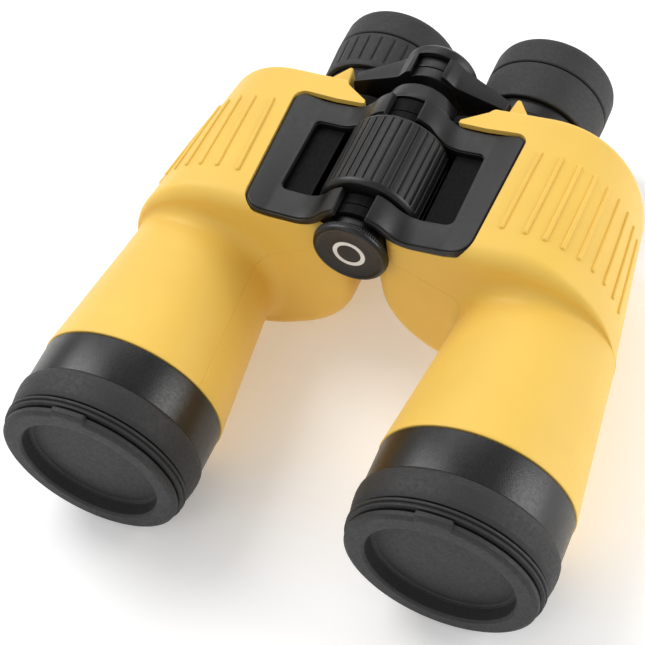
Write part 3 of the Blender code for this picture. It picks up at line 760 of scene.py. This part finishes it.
def bent_plate(name, outline, top, thick, rounding, material):
    """Bends a flat plate of an (x, y) outline down the plate's curve, with its face top below it."""
    curve = plate_curve(0.0)
    lengths = [0.0]
    for a, b in zip(curve, curve[1:]):
        lengths.append(lengths[-1] + math.dist(a, b))
    across = table_reader(list(zip([x for x, _ in curve], lengths)), 1000.0)
    bm = bmesh.new()
    flat = [bm.verts.new((across(x), y, 0.0)) for x, y in outline]
    face = bm.faces.new(flat)
    if face.normal.z < 0:
        face.normal_flip()
    made = bmesh.ops.extrude_face_region(bm, geom=[face])["geom"]
    bmesh.ops.translate(bm, vec=(0, 0, -thick), verts=[v for v in made if isinstance(v, bmesh.types.BMVert)])
    bmesh.ops.recalc_face_normals(bm, faces=bm.faces)
    rim = [e for e in bm.edges if all(abs(v.co.z) < 1e-6 for v in e.verts)]
    bmesh.ops.bevel(bm, geom=rim, offset=rounding, segments=5, profile=0.5, affect="EDGES")
    for i in range(1, 60):
        at = lengths[-1] * i / 60
        whole = bm.verts[:] + bm.edges[:] + bm.faces[:]
        bmesh.ops.bisect_plane(bm, geom=whole, plane_co=(at, 0, 0), plane_no=(1, 0, 0), dist=1e-5)
    for vert in bm.verts:
        at = min(max(vert.co.x, 0.0), lengths[-1] - 1e-6)
        k = min(max(bisect.bisect_right(lengths, at), 1), len(lengths) - 1)
        part = (at - lengths[k - 1]) / (lengths[k] - lengths[k - 1])
        (x0, z0), (x1, z1) = curve[k - 1], curve[k]
        x, z = mix(x0, x1, part), mix(z0, z1, part)
        normal = bent_normal(curve, k, part)
        sink = vert.co.z - top
        vert.co = (x + normal[0] * sink, vert.co.y, z + normal[1] * sink)
    return mesh_object(name, bm, material, sharp=50.0)


def bent_normal(curve, k, part):
    """The upward normal of a curve, smoothed between its segments."""
    def normal(i):
        i = min(max(i, 1), len(curve) - 1)
        dx, dz = curve[i][0] - curve[i - 1][0], curve[i][1] - curve[i - 1][1]
        size = math.hypot(dx, dz)
        return (-dz / size, dx / size)
    first = [mix(a, b, 0.5) for a, b in zip(normal(k - 1), normal(k))]
    second = [mix(a, b, 0.5) for a, b in zip(normal(k), normal(k + 1))]
    blend = [mix(a, b, part) for a, b in zip(first, second)]
    size = math.hypot(*blend)
    return (blend[0] / size, blend[1] / size)


def flip_side(obj, side):
    """Mirrors a finished left-hand object to the right when side is -1."""
    if side < 0:
        obj.data.transform(Matrix.Diagonal((-1, 1, 1, 1)))
        obj.data.flip_normals()
    return obj


def plate_pocket():
    """What the armour leaves free for the plate and the window inside it."""
    under = plate_curve(PLATE_THICK + GAP)
    beyond = PLATE_OUTER[0] + 8
    section = [(0.0, under[0][1])] + under[1:-1] + [(beyond, under[-1][1]), (beyond, 30.0), (0.0, 30.0)]
    pocket = prism("pocket", section, 80.0, 150.0)
    plan = [(-1.0, 84.0)] + [(14.0, 84.0)] + plate_edge(0.35) + [(11.0, 144.9), (-1.0, 144.9)]
    return combined(pocket, "INTERSECT", prism("pocket_plan", plan, -20.0, 40.0, along="z"))


def make_armour(half, sizes):
    """The rubber skin of one half, with its mould line and the pockets for plate, hinge and eyepiece."""
    skin = skin_solid(f"{half}_rubber_armour", sizes, 0.0, 300, line_width=0.5, material=FINISHES["armour"])
    wedge = [(28.0, 149.0), (30.2, 163.1), (31.4, 163.2), (41.8, 149.0)]
    fin = prism("fin", softened(wedge, 0.9), -4.2, 2.0, along="z")
    combined(skin, "UNION", bevelled(fin, 0.55, 60.0))
    inside = skin_solid("inside", sizes, sizes.skin_thickness / MM, 120, open_front=True)
    clear = [
        inside,
        plate_pocket(),
        rod("front_collar", HINGE_AXIS, 11.7, (80.0, 92.2)),
        rod("lugs", HINGE_AXIS, 13.1, (92.1, 144.8)),
        rod("wheel", HINGE_AXIS, 20.5, (100.9, 132.8)),
        rod("rear_collar", HINGE_AXIS, 14.3, (144.6, 160.0)),
        rod("eyepiece", EYEPIECE, 18.4, (148.0, 158.0)),
        prism("rear_corner", REAR_CORNER, -12.0, 20.0, along="z"),
    ]
    combined(skin, "DIFFERENCE", *clear, sharp=40.0)
    flip_side(skin, SIDES[half])
    return set_in_place(skin, f"{half}_half", [f"{half}_armour"])


def rib_angle(index, part):
    """Where a rib lies round the housing, part of the way from its front end to its rear end."""
    return mix(94.5 - 10.2 * index, 89.5 - 11.3 * index + 0.13 * index * index, part)


def make_ribs(half, sizes):
    """The grip ribs: rounded beads along the housing's outer curve, with round ends."""
    bm = bmesh.new()
    half_width, height = sizes.rib_width / MM / 2, sizes.rib_height / MM
    stations = [RIB_SPAN[0] + d for d in (-0.75, -0.65, -0.4, 0.0, 0.5)]
    stations += [mix(RIB_SPAN[0] + 2, RIB_SPAN[1] - 2, k / 14) for k in range(15)]
    stations += [RIB_SPAN[1] + d for d in (-0.5, 0.0, 0.35, 0.55, 0.65)]
    for index in range(sizes.rib_count):
        rows = []
        for y in stations:
            end = min(y - stations[0], stations[-1] - y)
            swell = math.sqrt(max(0.0, 1 - (1 - min(end / 0.75, 1.0)) ** 2))
            lean = mix(1.12, 0.92, (y - stations[0]) / (stations[-1] - stations[0]))
            degrees = rib_angle(index, (y - stations[0]) / (stations[-1] - stations[0]))
            base, ahead = outer_point(y, degrees), outer_point(y, degrees + 0.5)
            along = Vector((ahead[0] - base[0], ahead[1] - base[1])).normalized()
            out = Vector((along.y, -along.x))
            offsets = []
            for k in range(13):
                turn = math.pi * k / 12
                side = math.cos(turn) * half_width * lean * max(swell, 0.05)
                offsets.append((side, (math.sin(turn) ** 0.6) * height * max(swell, 0.02) - 0.12))
            offsets += [(-half_width * 0.9, -0.9), (half_width * 0.9, -0.9)]
            row = []
            for side, lift in offsets:
                x, z = base[0] + along.x * side + out.x * lift, base[1] + along.y * side + out.y * lift
                row.append(bm.verts.new((x, y, z)))
            rows.append(row)
        skinned(bm, rows, closed=False)
        bm.faces.new(rows[0])
        bm.faces.new(rows[-1])
    ribs = mesh_object(f"{half}_grip_ribs", bm, FINISHES["armour"], sharp=50.0)
    flip_side(ribs, SIDES[half])
    return set_in_place(ribs, f"{half}_half", [])


# Top plates and focus wheel.


def make_plate(half, sizes):
    """The C-shaped top plate: a rounded face on a dark border that lies lower."""
    border = sizes.plate_border / MM
    base = [(PLATE_INNER, PLATE_SPAN[0])] + plate_edge(0.0)
    base += [(PLATE_INNER, PLATE_SPAN[1])] + plate_window(0.0)
    face = [(PLATE_INNER, PLATE_SPAN[0] + border)] + plate_edge(-border)
    face += [(PLATE_INNER, PLATE_SPAN[1] - 0.25)] + plate_window(-border * 0.35)
    ledge = 0.75
    lower = bent_plate("lower", softened(base, 0.5, 3), ledge, PLATE_THICK - ledge, 0.3,
                       FINISHES["black_plastic"])
    upper = bent_plate(f"{half}_top_plate", softened(face, 0.6, 3), 0.0, 1.2, sizes.plate_rounding / MM,
                       FINISHES["black_plastic"])
    joined = combined(upper, "UNION", lower, sharp=45.0)
    flip_side(joined, SIDES[half])
    return set_in_place(joined, f"{half}_half", [f"{half}_frame_plate"])


def make_wheel(sizes):
    y0, y1 = WHEEL_SPAN
    outer = WHEEL_R
    sections = [(10.2, y0, 0), (16.3, y0, 0), (16.8, y0 + 0.15, 0), (17.15, y0 + 0.6, 0)]
    sections += [(outer - 0.15, y0 + 1.3, 0), (outer - 0.03, y0 + 1.7, 0), (outer, y0 + 2.0, 0)]
    start = ((0.15, 0.45), (0.4, 0.8), (0.8, 1.0), (6.0, 1.0), (13.0, 1.0))
    sections += [(outer, y0 + 2.0 + d, s) for d, s in start]
    sections += [(outer, y1 - 1.5 - d, s) for d, s in ((6.0, 1.0), (0.5, 1.0), (0.2, 0.75), (0.0, 0.0))]
    sections += [(outer - 0.1, y1 - 1.0, 0), (outer - 0.45, y1 - 0.45, 0), (outer - 1.1, y1 - 0.05, 0)]
    sections += [(outer - 1.6, y1, 0), (10.2, y1, 0)]
    pattern = groove_angles(sizes.wheel_grooves, 0.62, outer)
    wheel = fluted("ribbed_focus_wheel", HINGE_AXIS, sections, pattern, sizes.wheel_groove_depth / MM,
                   FINISHES["black_plastic"])
    return set_in_place(wheel, "focus_wheel", ["focus_wheel"])


# Objective end.


def make_sleeve(half, axis):
    profile = [(28.95, 6.6), (30.6, 6.6), (30.6, 16.9), (32.1, 17.1, 0.15)]
    profile += [(32.15, 31.9, 0.35), (28.95, 31.9)]
    sleeve = turned(f"{half}_satin_sleeve", axis, thinned(profile), FINISHES["black_satin"], 192)
    return set_in_place(sleeve, f"{half}_half", [f"{half}_objective_sleeve"])


def make_bumper(half, axis):
    profile = [(30.9, 6.7), (31.7, 6.7, 0.5), (32.25, 8.4, 1.2), (32.8, 11.6, 3.0), (33.0, 14.2, 2.0)]
    profile += [(32.85, 16.0, 1.0), (32.25, 17.0, 0.5), (30.9, 17.05)]
    bumper = turned(f"{half}_soft_bumper", axis, thinned(profile), FINISHES["black_rubber"], 192)
    return set_in_place(bumper, f"{half}_half", [f"{half}_bumper_band"])


def make_rim(half, axis):
    """Two narrow ridges with grooves between them."""
    profile = [(28.95, 3.2, 0.1), (30.9, 3.2, 0.1), (31.9, 3.5, 0.3), (32.05, 4.1, 0.3), (31.4, 4.55, 0.15)]
    profile += [(31.4, 4.85, 0.15), (32.2, 5.1, 0.3), (32.2, 5.9, 0.3), (31.3, 6.35, 0.2), (28.95, 6.35, 0.1)]
    rim = turned(f"{half}_ridged_rim", axis, thinned(profile), FINISHES["black_rubber"], 192)
    return set_in_place(rim, f"{half}_half", [f"{half}_rim_ring"])


TAB_SPAN = (77.0, 99.0)
TAB_OUT = 1.5


def make_cap(half, axis):
    """The push-in cap: a flat ring round a deep dish, with a pull tab on its edge."""
    profile = [(0, 4.35), (6, 4.4, 2), (14, 4.62, 2), (22.3, 5.2, 0.3), (22.75, 4.75, 0.3), (23.55, 4.7, 0.3)]
    profile += [(24.1, 0.75, 0.4), (24.95, 0.0, 0.7), (29.6, 0.0, 1.0), (30.95, 0.75, 0.5), (31.0, 2.2, 0.3)]
    profile += [(30.6, 2.65, 0.2), (28.4, 2.9, 0.1), (28.4, 7.3, 0.3), (26.6, 7.3, 0.3)]
    profile += [(26.0, 6.3, 0.3), (0, 6.1)]
    start, end = (math.radians(a) for a in TAB_SPAN)

    def swell(angle, radius, y):
        if radius < 28.6 or y > 2.75:
            return 0.0
        ramp = math.radians(1.2)
        inside = min((angle - start) / ramp, (end - angle) / ramp)
        part = min(max(inside, 0.0), 1.0)
        return TAB_OUT * part * part * (3 - 2 * part) * min(max((radius - 28.6) / 1.6, 0.0), 1.0)

    cap = turned(f"{half}_dished_cap", axis, thinned(profile), FINISHES["black_rubber"], 360, swell)
    return set_in_place(cap, f"{half}_cap", [f"{half}_objective_cap"])


# Hinge ends.


def make_socket_cap(sizes):
    """The knurled screw cap at the front of the hinge, with a plain ring printed on it."""
    depth = sizes.knurl_depth / MM
    pattern = groove_angles(sizes.knurls, 0.5, 13.0)
    sections = [(3.0, 88.45, 0), (12.0, 88.45, 0), (12.6, 88.2, 0.4), (12.95, 87.95, 1)]
    sections += [(13.0, 87.6, 1), (13.0, 87.1, 1)]
    sections += [(12.95, 86.9, 0.6), (12.8, 86.75, 0), (12.75, 86.3, 0), (12.6, 85.85, 0), (12.3, 85.5, 0)]
    sections += [(11.9, 85.32, 0), (11.5, 85.3, 0), (11.1, 85.38, 0), (10.85, 85.62, 0), (10.6, 85.72, 0)]
    sections += [(6.0, 85.72, 0), (0.02, 85.72, 0), (0.02, 99.0, 0), (2.4, 99.0, 0), (3.0, 98.4, 0)]
    cap = fluted("knurled_socket_cap", HINGE_AXIS, sections, pattern, depth, FINISHES["black_plastic"])
    set_in_place(cap, "socket_cap", ["socket_cap"])
    outer = sizes.mark_radius / MM
    ring = [(outer - 1.5, 85.66), (outer, 85.66), (outer, 85.9), (outer - 1.5, 85.9)]
    mark = turned("ring_mark", HINGE_AXIS, ring, FINISHES["mark"], 96)
    set_in_place(mark, "socket_cap", [])


def make_collars():
    front = [(6.3, 88.9), (10.7, 88.9, 0.3), (11.2, 89.4, 0.3), (11.2, 91.9), (6.3, 91.9)]
    collar = turned("front_collar_ring", HINGE_AXIS, thinned(front), FINISHES["black_plastic"])
    set_in_place(collar, "left_half", ["socket_collar"])
    rear = [(6.3, 144.9), (13.4, 144.9, 0.3), (13.4, 146.4, 1.0), (12.9, 149.6, 2.0), (12.35, 152.0, 0.6)]
    rear += [(11.5, 152.9, 0.4), (10.4, 152.9, 0.2), (10.2, 152.3, 0.2), (8.6, 152.3, 0.2)]
    rear += [(8.4, 153.0, 0.2), (6.3, 153.0)]
    dome = turned("rear_collar_dome", HINGE_AXIS, thinned(rear), FINISHES["black_plastic"])
    set_in_place(dome, "left_half", ["rear_collar"])


# Focusing bridge and eyepieces.

BRIDGE_TOP = ((5.6, 12.0, 0.3), (7.4, 11.2, 2.0), (10.4, 8.0, 4.0),
              (15.6, 6.0, 4.0), (24.6, 2.8, 4.0), (28.0, 1.4, 1.0))
BRIDGE_TAPER = ((10.0, 168.0), (11.0, 166.4), (29.0, 161.5), (60.0, 161.5), (60.0, 170.0))


def make_bridge_arm(half, body):
    """One arm of the focusing bridge: its hinge ring, the sloping bar and the eyepiece's ring."""
    y0, y1 = BRIDGE_SPAN
    middle = (y0 + y1) / 2
    if half == "left":
        own, other = (middle + 0.15, y1), (y0 - 1, middle + 0.35)
    else:
        own, other = (y0, middle - 0.15), (middle - 0.35, y1 + 1)
    x0, (ex, ez) = BRIDGE_TOP[0][0], EYEPIECE
    outline = [*BRIDGE_TOP, (28.6, ez + 19, 0.5), (ex - 14, ez + 3, 2.0), (8.0, -11.0, 1.0), (x0, -10.0, 0.3)]
    arm = prism(f"{half}_bridge_lever", softened(outline, 0.3, 5), y0, y1, FINISHES["black_plastic"])
    combined(arm, "DIFFERENCE", prism("taper", BRIDGE_TAPER, -30.0, 30.0, along="z"))
    bevelled(arm, 0.5, 50.0)
    rim = [(14.0, y0, 0.1), (20.3, y0, 0.8), (20.3, y1, 0.8), (14.0, y1, 0.1)]
    ring = turned("eye_ring", EYEPIECE, thinned(rim), None)
    combined(arm, "UNION", ring)
    combined(arm, "DIFFERENCE", rod("other_ring", HINGE_AXIS, 11.35, other))
    boss = [(0, own[0]), (11.0, own[0], 0.3), (11.0, own[1], 0.5), (0, own[1])]
    hub = turned("hub", HINGE_AXIS, thinned(boss), None)
    combined(arm, "UNION", hub)
    rod_way = rod("rod_way", HINGE_AXIS, 4.1, (150, 175))
    combined(arm, "DIFFERENCE", rod_way, rod("barrel_way", EYEPIECE, 17.0, (150, 175)))
    flip_side(arm, SIDES[half])
    return set_in_place(arm, body, [f"{half}_bridge_arm"])


def make_bridge_cap():
    shell = [(4.2, 166.8), (12.8, 166.8, 0.3), (13.1, 170.0, 0.6), (11.9, 171.5, 0.9)]
    shell += [(8.2, 172.2, 1.0), (7.4, 172.1, 0.3)]
    shell += [(7.0, 171.7, 0.2), (4.0, 172.2, 1.0), (0, 172.4), (0, 168.3), (4.2, 168.3)]
    cap = turned("bridge_round_cap", HINGE_AXIS, thinned(shell), FINISHES["black_plastic"])
    return set_in_place(cap, "bridge", ["bridge_end_cap"])


def mirrored_axis(axis, side):
    return (side * axis[0], axis[1])


def make_plain_band():
    y0, y1 = BAND_SPAN
    profile = [(20.0, y0), (21.2, y0, 0.3), (21.5, y0 + 0.6, 0.5), (22.35, y1 - 0.5, 0.3)]
    profile += [(22.0, y1, 0.3), (20.0, y1)]
    band = turned("left_plain_band", EYEPIECE, thinned(profile), FINISHES["black_rubber"], 176)
    return set_in_place(band, "bridge", ["left_eyepiece_band"])


def make_dioptre_ring(sizes):
    y0, y1 = BAND_SPAN
    low, high = 21.5, 22.4
    taper = lambda y: mix(low, high, (y - y0) / (y1 - y0))
    sections = [(20.0, y0, 0), (21.2, y0, 0), (taper(y0 + 0.5), y0 + 0.5, 0)]
    depths = ((2.3, 0), (2.5, 0.5), (2.9, 0.85), (3.4, 1), (7.0, 1),
              (12.9, 1), (13.4, 0.85), (13.8, 0.5), (14.0, 0))
    for y, part in depths:
        sections.append((taper(y0 + y), y0 + y, part))
    sections += [(taper(y1 - 0.4), y1 - 0.4, 0), (22.05, y1, 0), (20.0, y1, 0)]
    pattern = groove_angles(sizes.dioptre_grooves, 1.0, high)
    ring = fluted("grooved_dioptre_ring", mirrored_axis(EYEPIECE, -1), sections, pattern,
                  sizes.dioptre_groove_depth / MM, FINISHES["black_rubber"])
    return set_in_place(ring, "dioptre_ring", ["dioptre_ring"])


def make_eyecup(half, axis):
    y0, y1 = CUP_SPAN
    profile = [(18.5, y0), (22.0, y0, 0.3), (22.4, y0 + 0.45, 0.4), (22.35, y1 - 2.6, 1.5)]
    profile += [(21.9, y1 - 0.9, 1.2), (20.7, y1, 0.9), (18.6, y1 - 0.1, 0.8), (16.9, y1 - 0.7, 0.6)]
    profile += [(16.4, y1 - 1.9, 0.4), (18.5, y1 - 2.2, 0.2)]
    cup = turned(f"{half}_soft_eyecup", axis, thinned(profile), FINISHES["black_rubber"], 176)
    return set_in_place(cup, f"{half}_eyecup", [f"{half}_eyecup"])


def make_ocular(half, axis, bodies):
    """What shows inside and under an eyecup: cam sleeve, lens ring, lens, barrel, base and guide tube."""
    arm, ocular, twist = bodies
    sleeve = [(17.3, 186.2), (18.15, 186.2, 0.2), (18.15, 199.0, 0.3), (17.3, 199.0, 0.2)]
    guide = [(13.2, 146.0), (16.6, 146.0), (16.6, 148.0), (14.9, 148.0)]
    guide += [(14.9, 161.0, 0.3), (13.2, 161.0, 0.3)]
    barrel = [(15.2, 158.6, 0.2), (16.9, 158.6, 0.4), (16.9, 187.6, 0.3), (12.3, 187.6)]
    barrel += [(12.3, 183.0), (15.2, 171.0)]
    base = [(17.0, 166.8), (19.6, 166.8, 0.5), (19.6, 183.5, 0.3), (17.0, 183.5)]
    seat = [(10.6, 187.9, 0.2), (16.9, 187.9, 0.2), (16.9, 189.4, 0.3)]
    seat += [(15.6, 189.6, 0.2), (12.4, 188.9, 0.4)]
    eye = [(0, 182.2), (6, 182.6, 2), (11.9, 184.2, 0.1), (11.9, 185.6, 0.1)]
    eye += [(9.2, 186.6, 2), (5, 187.6, 2), (0, 188.0)]
    field = [(0, 164.9), (8, 165.2, 2), (14.9, 166.6, 0.1), (14.9, 168.4, 0.1), (8, 169.8, 2), (0, 170.1)]
    rows = (
        (f"{half}_twist_sleeve", sleeve, twist, "cam_sleeve", "black_plastic"),
        (f"{half}_guide_pipe", guide, f"{half}_half", "guide_tube", "anodised"),
        (f"{half}_eyepiece_barrel", barrel, ocular, "ocular_barrel", "anodised"),
        (f"{half}_eyepiece_base", base, arm, "ocular_base", "black_plastic"),
        (f"{half}_lens_seat", seat, ocular, "eye_lens_ring", "black_plastic"),
        (f"{half}_eye_glass", eye, ocular, "eye_lens", "coated_glass"),
        (f"{half}_field_glass", field, ocular, "field_lens", "coated_glass"),
    )
    for name, profile, body, node, slot_name in rows:
        made = turned(name, axis, thinned(profile), FINISHES[slot_name], 96)
        set_in_place(made, body, [f"{half}_{node}"])


# Stage.

FLOOR_GLOW = 0.22
ROOM_LIGHT = 0.44
SOFTBOXES = (
    ("left_softbox", (-0.75, 0.20, 0.95), (0.45, 0.95), 7.6),
    ("right_softbox", (1.05, 0.35, 0.42), (0.50, 0.80), 5.8),
    ("front_softbox", (-0.25, -0.95, 0.75), (0.8, 0.5), 2.3),
    ("rear_softbox", (-0.25, 0.95, 1.05), (1.0, 0.45), 2.8),
)


def make_floor(colours):
    """A pale floor that curves up far behind the binoculars."""
    finish = Finish("pale_floor", tuple(colours.floor), 0.7)
    finish.mottled(tuple(colours.floor), 0.01, finish.noise(6.0))
    finish.shader.inputs["Emission Color"].default_value = (1.0, 1.0, 1.0, 1.0)
    finish.shader.inputs["Emission Strength"].default_value = FLOOR_GLOW
    bm = bmesh.new()
    rows = []
    depth, rise = 3.0, 1.2
    section = [(-depth, 0.0), (-0.5, 0.0), (0.8, 0.0), (depth - rise, 0.0)]
    bends = [math.radians(9 * k) for k in range(1, 11)]
    section += [(depth - rise + rise * math.sin(a), rise - rise * math.cos(a)) for a in bends]
    section.append((depth, depth))
    for x in (-4.0, -2.0, 0.0, 2.0, 4.0):
        rows.append([bm.verts.new((x, y, z)) for y, z in section])
    for first, second in zip(rows, rows[1:]):
        for i in range(len(section) - 1):
            bm.faces.new((first[i], second[i], second[i + 1], first[i + 1]))
    mesh = bpy.data.meshes.new("stage_floor")
    bm.to_mesh(mesh)
    bm.free()
    mesh.shade_smooth()
    mesh.materials.append(finish.material)
    floor = bpy.data.objects.new("stage_floor", mesh)
    bpy.context.scene.collection.objects.link(floor)


def make_light(name, place, target, size, power):
    lamp = bpy.data.lights.new(name, "AREA")
    lamp.shape = "RECTANGLE"
    lamp.size, lamp.size_y = size
    lamp.energy = power
    obj = bpy.data.objects.new(name, lamp)
    bpy.context.scene.collection.objects.link(obj)
    obj.location = place
    obj.rotation_euler = (Vector(target) - Vector(place)).to_track_quat("-Z", "Y").to_euler()


def make_lights():
    for name, place, size, power in SOFTBOXES:
        make_light(name, place, (0, 0, 0.03), size, power)
    world = bpy.data.worlds.new("soft_room")
    world.use_nodes = True
    world.node_tree.nodes["Background"].inputs["Color"].default_value = (1.0, 1.0, 1.0, 1.0)
    world.node_tree.nodes["Background"].inputs["Strength"].default_value = ROOM_LIGHT
    bpy.context.scene.world = world


CAMERA_PLACE = (0.19253, -0.32663, 0.48904)
CAMERA_RIGHT = (0.90920, 0.39000, -0.14575)
CAMERA_UP = (-0.22833, 0.75980, 0.60874)
CAMERA_LENS = 97.5


def make_camera():
    lens = bpy.data.cameras.new("camera")
    lens.lens = CAMERA_LENS
    lens.sensor_width = 36.0
    lens.clip_start = 0.01
    camera = bpy.data.objects.new("camera", lens)
    bpy.context.scene.collection.objects.link(camera)
    right, up = Vector(CAMERA_RIGHT).normalized(), Vector(CAMERA_UP).normalized()
    turn = Matrix((right, up, right.cross(up))).transposed().to_4x4()
    camera.matrix_world = Matrix.Translation(CAMERA_PLACE) @ turn
    bpy.context.scene.camera = camera


# Operators.


class MakeFinishes(bpy.types.Operator):
    """Make the materials and give them to the CAD nodes that stay in sight"""

    bl_idname = "binoculars.finishes"
    bl_label = "Finishes"

    def execute(self, context):
        make_finishes(context.scene.binocular_colours)
        for entry in frame["record"]["subparts"]:
            node = frame["nodes"][entry["node"]]
            node.data.materials.clear()
            node.data.materials.append(FINISHES[entry["material_slot"]])
            node.data.shade_smooth()
            node.data.set_sharp_from_angle(angle=math.radians(30))
        return {"FINISHED"}


class MakeArmour(bpy.types.Operator):
    """Make the rubber skins and their grip ribs"""

    bl_idname = "binoculars.armour"
    bl_label = "Rubber Armour"

    def execute(self, context):
        for half in SIDES:
            make_armour(half, context.scene.binocular_sizes)
            make_ribs(half, context.scene.binocular_sizes)
        return {"FINISHED"}


class MakePlates(bpy.types.Operator):
    """Make the C-shaped top plates"""

    bl_idname = "binoculars.plates"
    bl_label = "Top Plates"

    def execute(self, context):
        for half in SIDES:
            make_plate(half, context.scene.binocular_sizes)
        return {"FINISHED"}


class MakeWheel(bpy.types.Operator):
    """Make the grooved focus wheel"""

    bl_idname = "binoculars.wheel"
    bl_label = "Focus Wheel"

    def execute(self, context):
        make_wheel(context.scene.binocular_sizes)
        return {"FINISHED"}


class MakeObjectives(bpy.types.Operator):
    """Make the sleeves, bumpers, rims and caps at the objective ends"""

    bl_idname = "binoculars.objectives"
    bl_label = "Objective Ends"

    def execute(self, context):
        for half, side in SIDES.items():
            axis = mirrored_axis(OBJECTIVE, side)
            make_sleeve(half, axis)
            make_bumper(half, axis)
            make_rim(half, axis)
            make_cap(half, axis)
        return {"FINISHED"}


class MakeHingeEnds(bpy.types.Operator):
    """Make the knurled socket cap and the collars at both ends of the hinge"""

    bl_idname = "binoculars.hinge_ends"
    bl_label = "Hinge Ends"

    def execute(self, context):
        make_socket_cap(context.scene.binocular_sizes)
        make_collars()
        return {"FINISHED"}


class MakeBridge(bpy.types.Operator):
    """Make the focusing bridge and its cap"""

    bl_idname = "binoculars.bridge"
    bl_label = "Focusing Bridge"

    def execute(self, context):
        make_bridge_arm("left", "bridge")
        make_bridge_arm("right", "right_arm")
        make_bridge_cap()
        return {"FINISHED"}


class MakeEyepieces(bpy.types.Operator):
    """Make the eyepieces, the dioptre ring and the eyecups"""

    bl_idname = "binoculars.eyepieces"
    bl_label = "Eyepieces"

    def execute(self, context):
        carried = {
            "left": ("bridge", "bridge", "left_cup_twist"),
            "right": ("right_arm", "right_ocular", "right_cup_twist"),
        }
        for half, side in SIDES.items():
            axis = mirrored_axis(EYEPIECE, side)
            make_ocular(half, axis, carried[half])
            make_eyecup(half, axis)
        make_plain_band()
        make_dioptre_ring(context.scene.binocular_sizes)
        return {"FINISHED"}


class MakeStage(bpy.types.Operator):
    """Make the floor, the lights and the camera"""

    bl_idname = "binoculars.stage"
    bl_label = "Stage"

    def execute(self, context):
        make_floor(context.scene.binocular_colours)
        make_lights()
        make_camera()
        context.scene.view_settings.view_transform = "Standard"
        return {"FINISHED"}


MAKERS = (
    MakeFinishes,
    MakeArmour,
    MakePlates,
    MakeWheel,
    MakeObjectives,
    MakeHingeEnds,
    MakeBridge,
    MakeEyepieces,
    MakeStage,
)


class BinocularPanel(bpy.types.Panel):
    """Lists the makers in the order they are used"""

    bl_idname = "VIEW3D_PT_binoculars"
    bl_label = "Binoculars"
    bl_space_type = "VIEW_3D"
    bl_region_type = "UI"
    bl_category = "Binoculars"

    def draw(self, context):
        for maker in MAKERS:
            self.layout.operator(maker.bl_idname)
        for group in (context.scene.binocular_sizes, context.scene.binocular_colours):
            box = self.layout.box()
            for name in group.bl_rna.properties.keys():
                if name not in {"rna_type", "name"}:
                    box.prop(group, name)


CLASSES = (BinocularSizes, BinocularColours, *MAKERS, BinocularPanel)


def register():
    for kind in CLASSES:
        bpy.utils.register_class(kind)
    bpy.types.Scene.binocular_sizes = PointerProperty(type=BinocularSizes)
    bpy.types.Scene.binocular_colours = PointerProperty(type=BinocularColours)


def unregister():
    del bpy.types.Scene.binocular_colours
    del bpy.types.Scene.binocular_sizes
    for kind in reversed(CLASSES):
        bpy.utils.unregister_class(kind)


def run_makers():
    """Calls each maker's operator in turn."""
    for maker in MAKERS:
        _, name = maker.bl_idname.split(".")
        getattr(bpy.ops.binoculars, name)()


def main():
    register()
    run_makers()


if __name__ == "__main__":
    main()
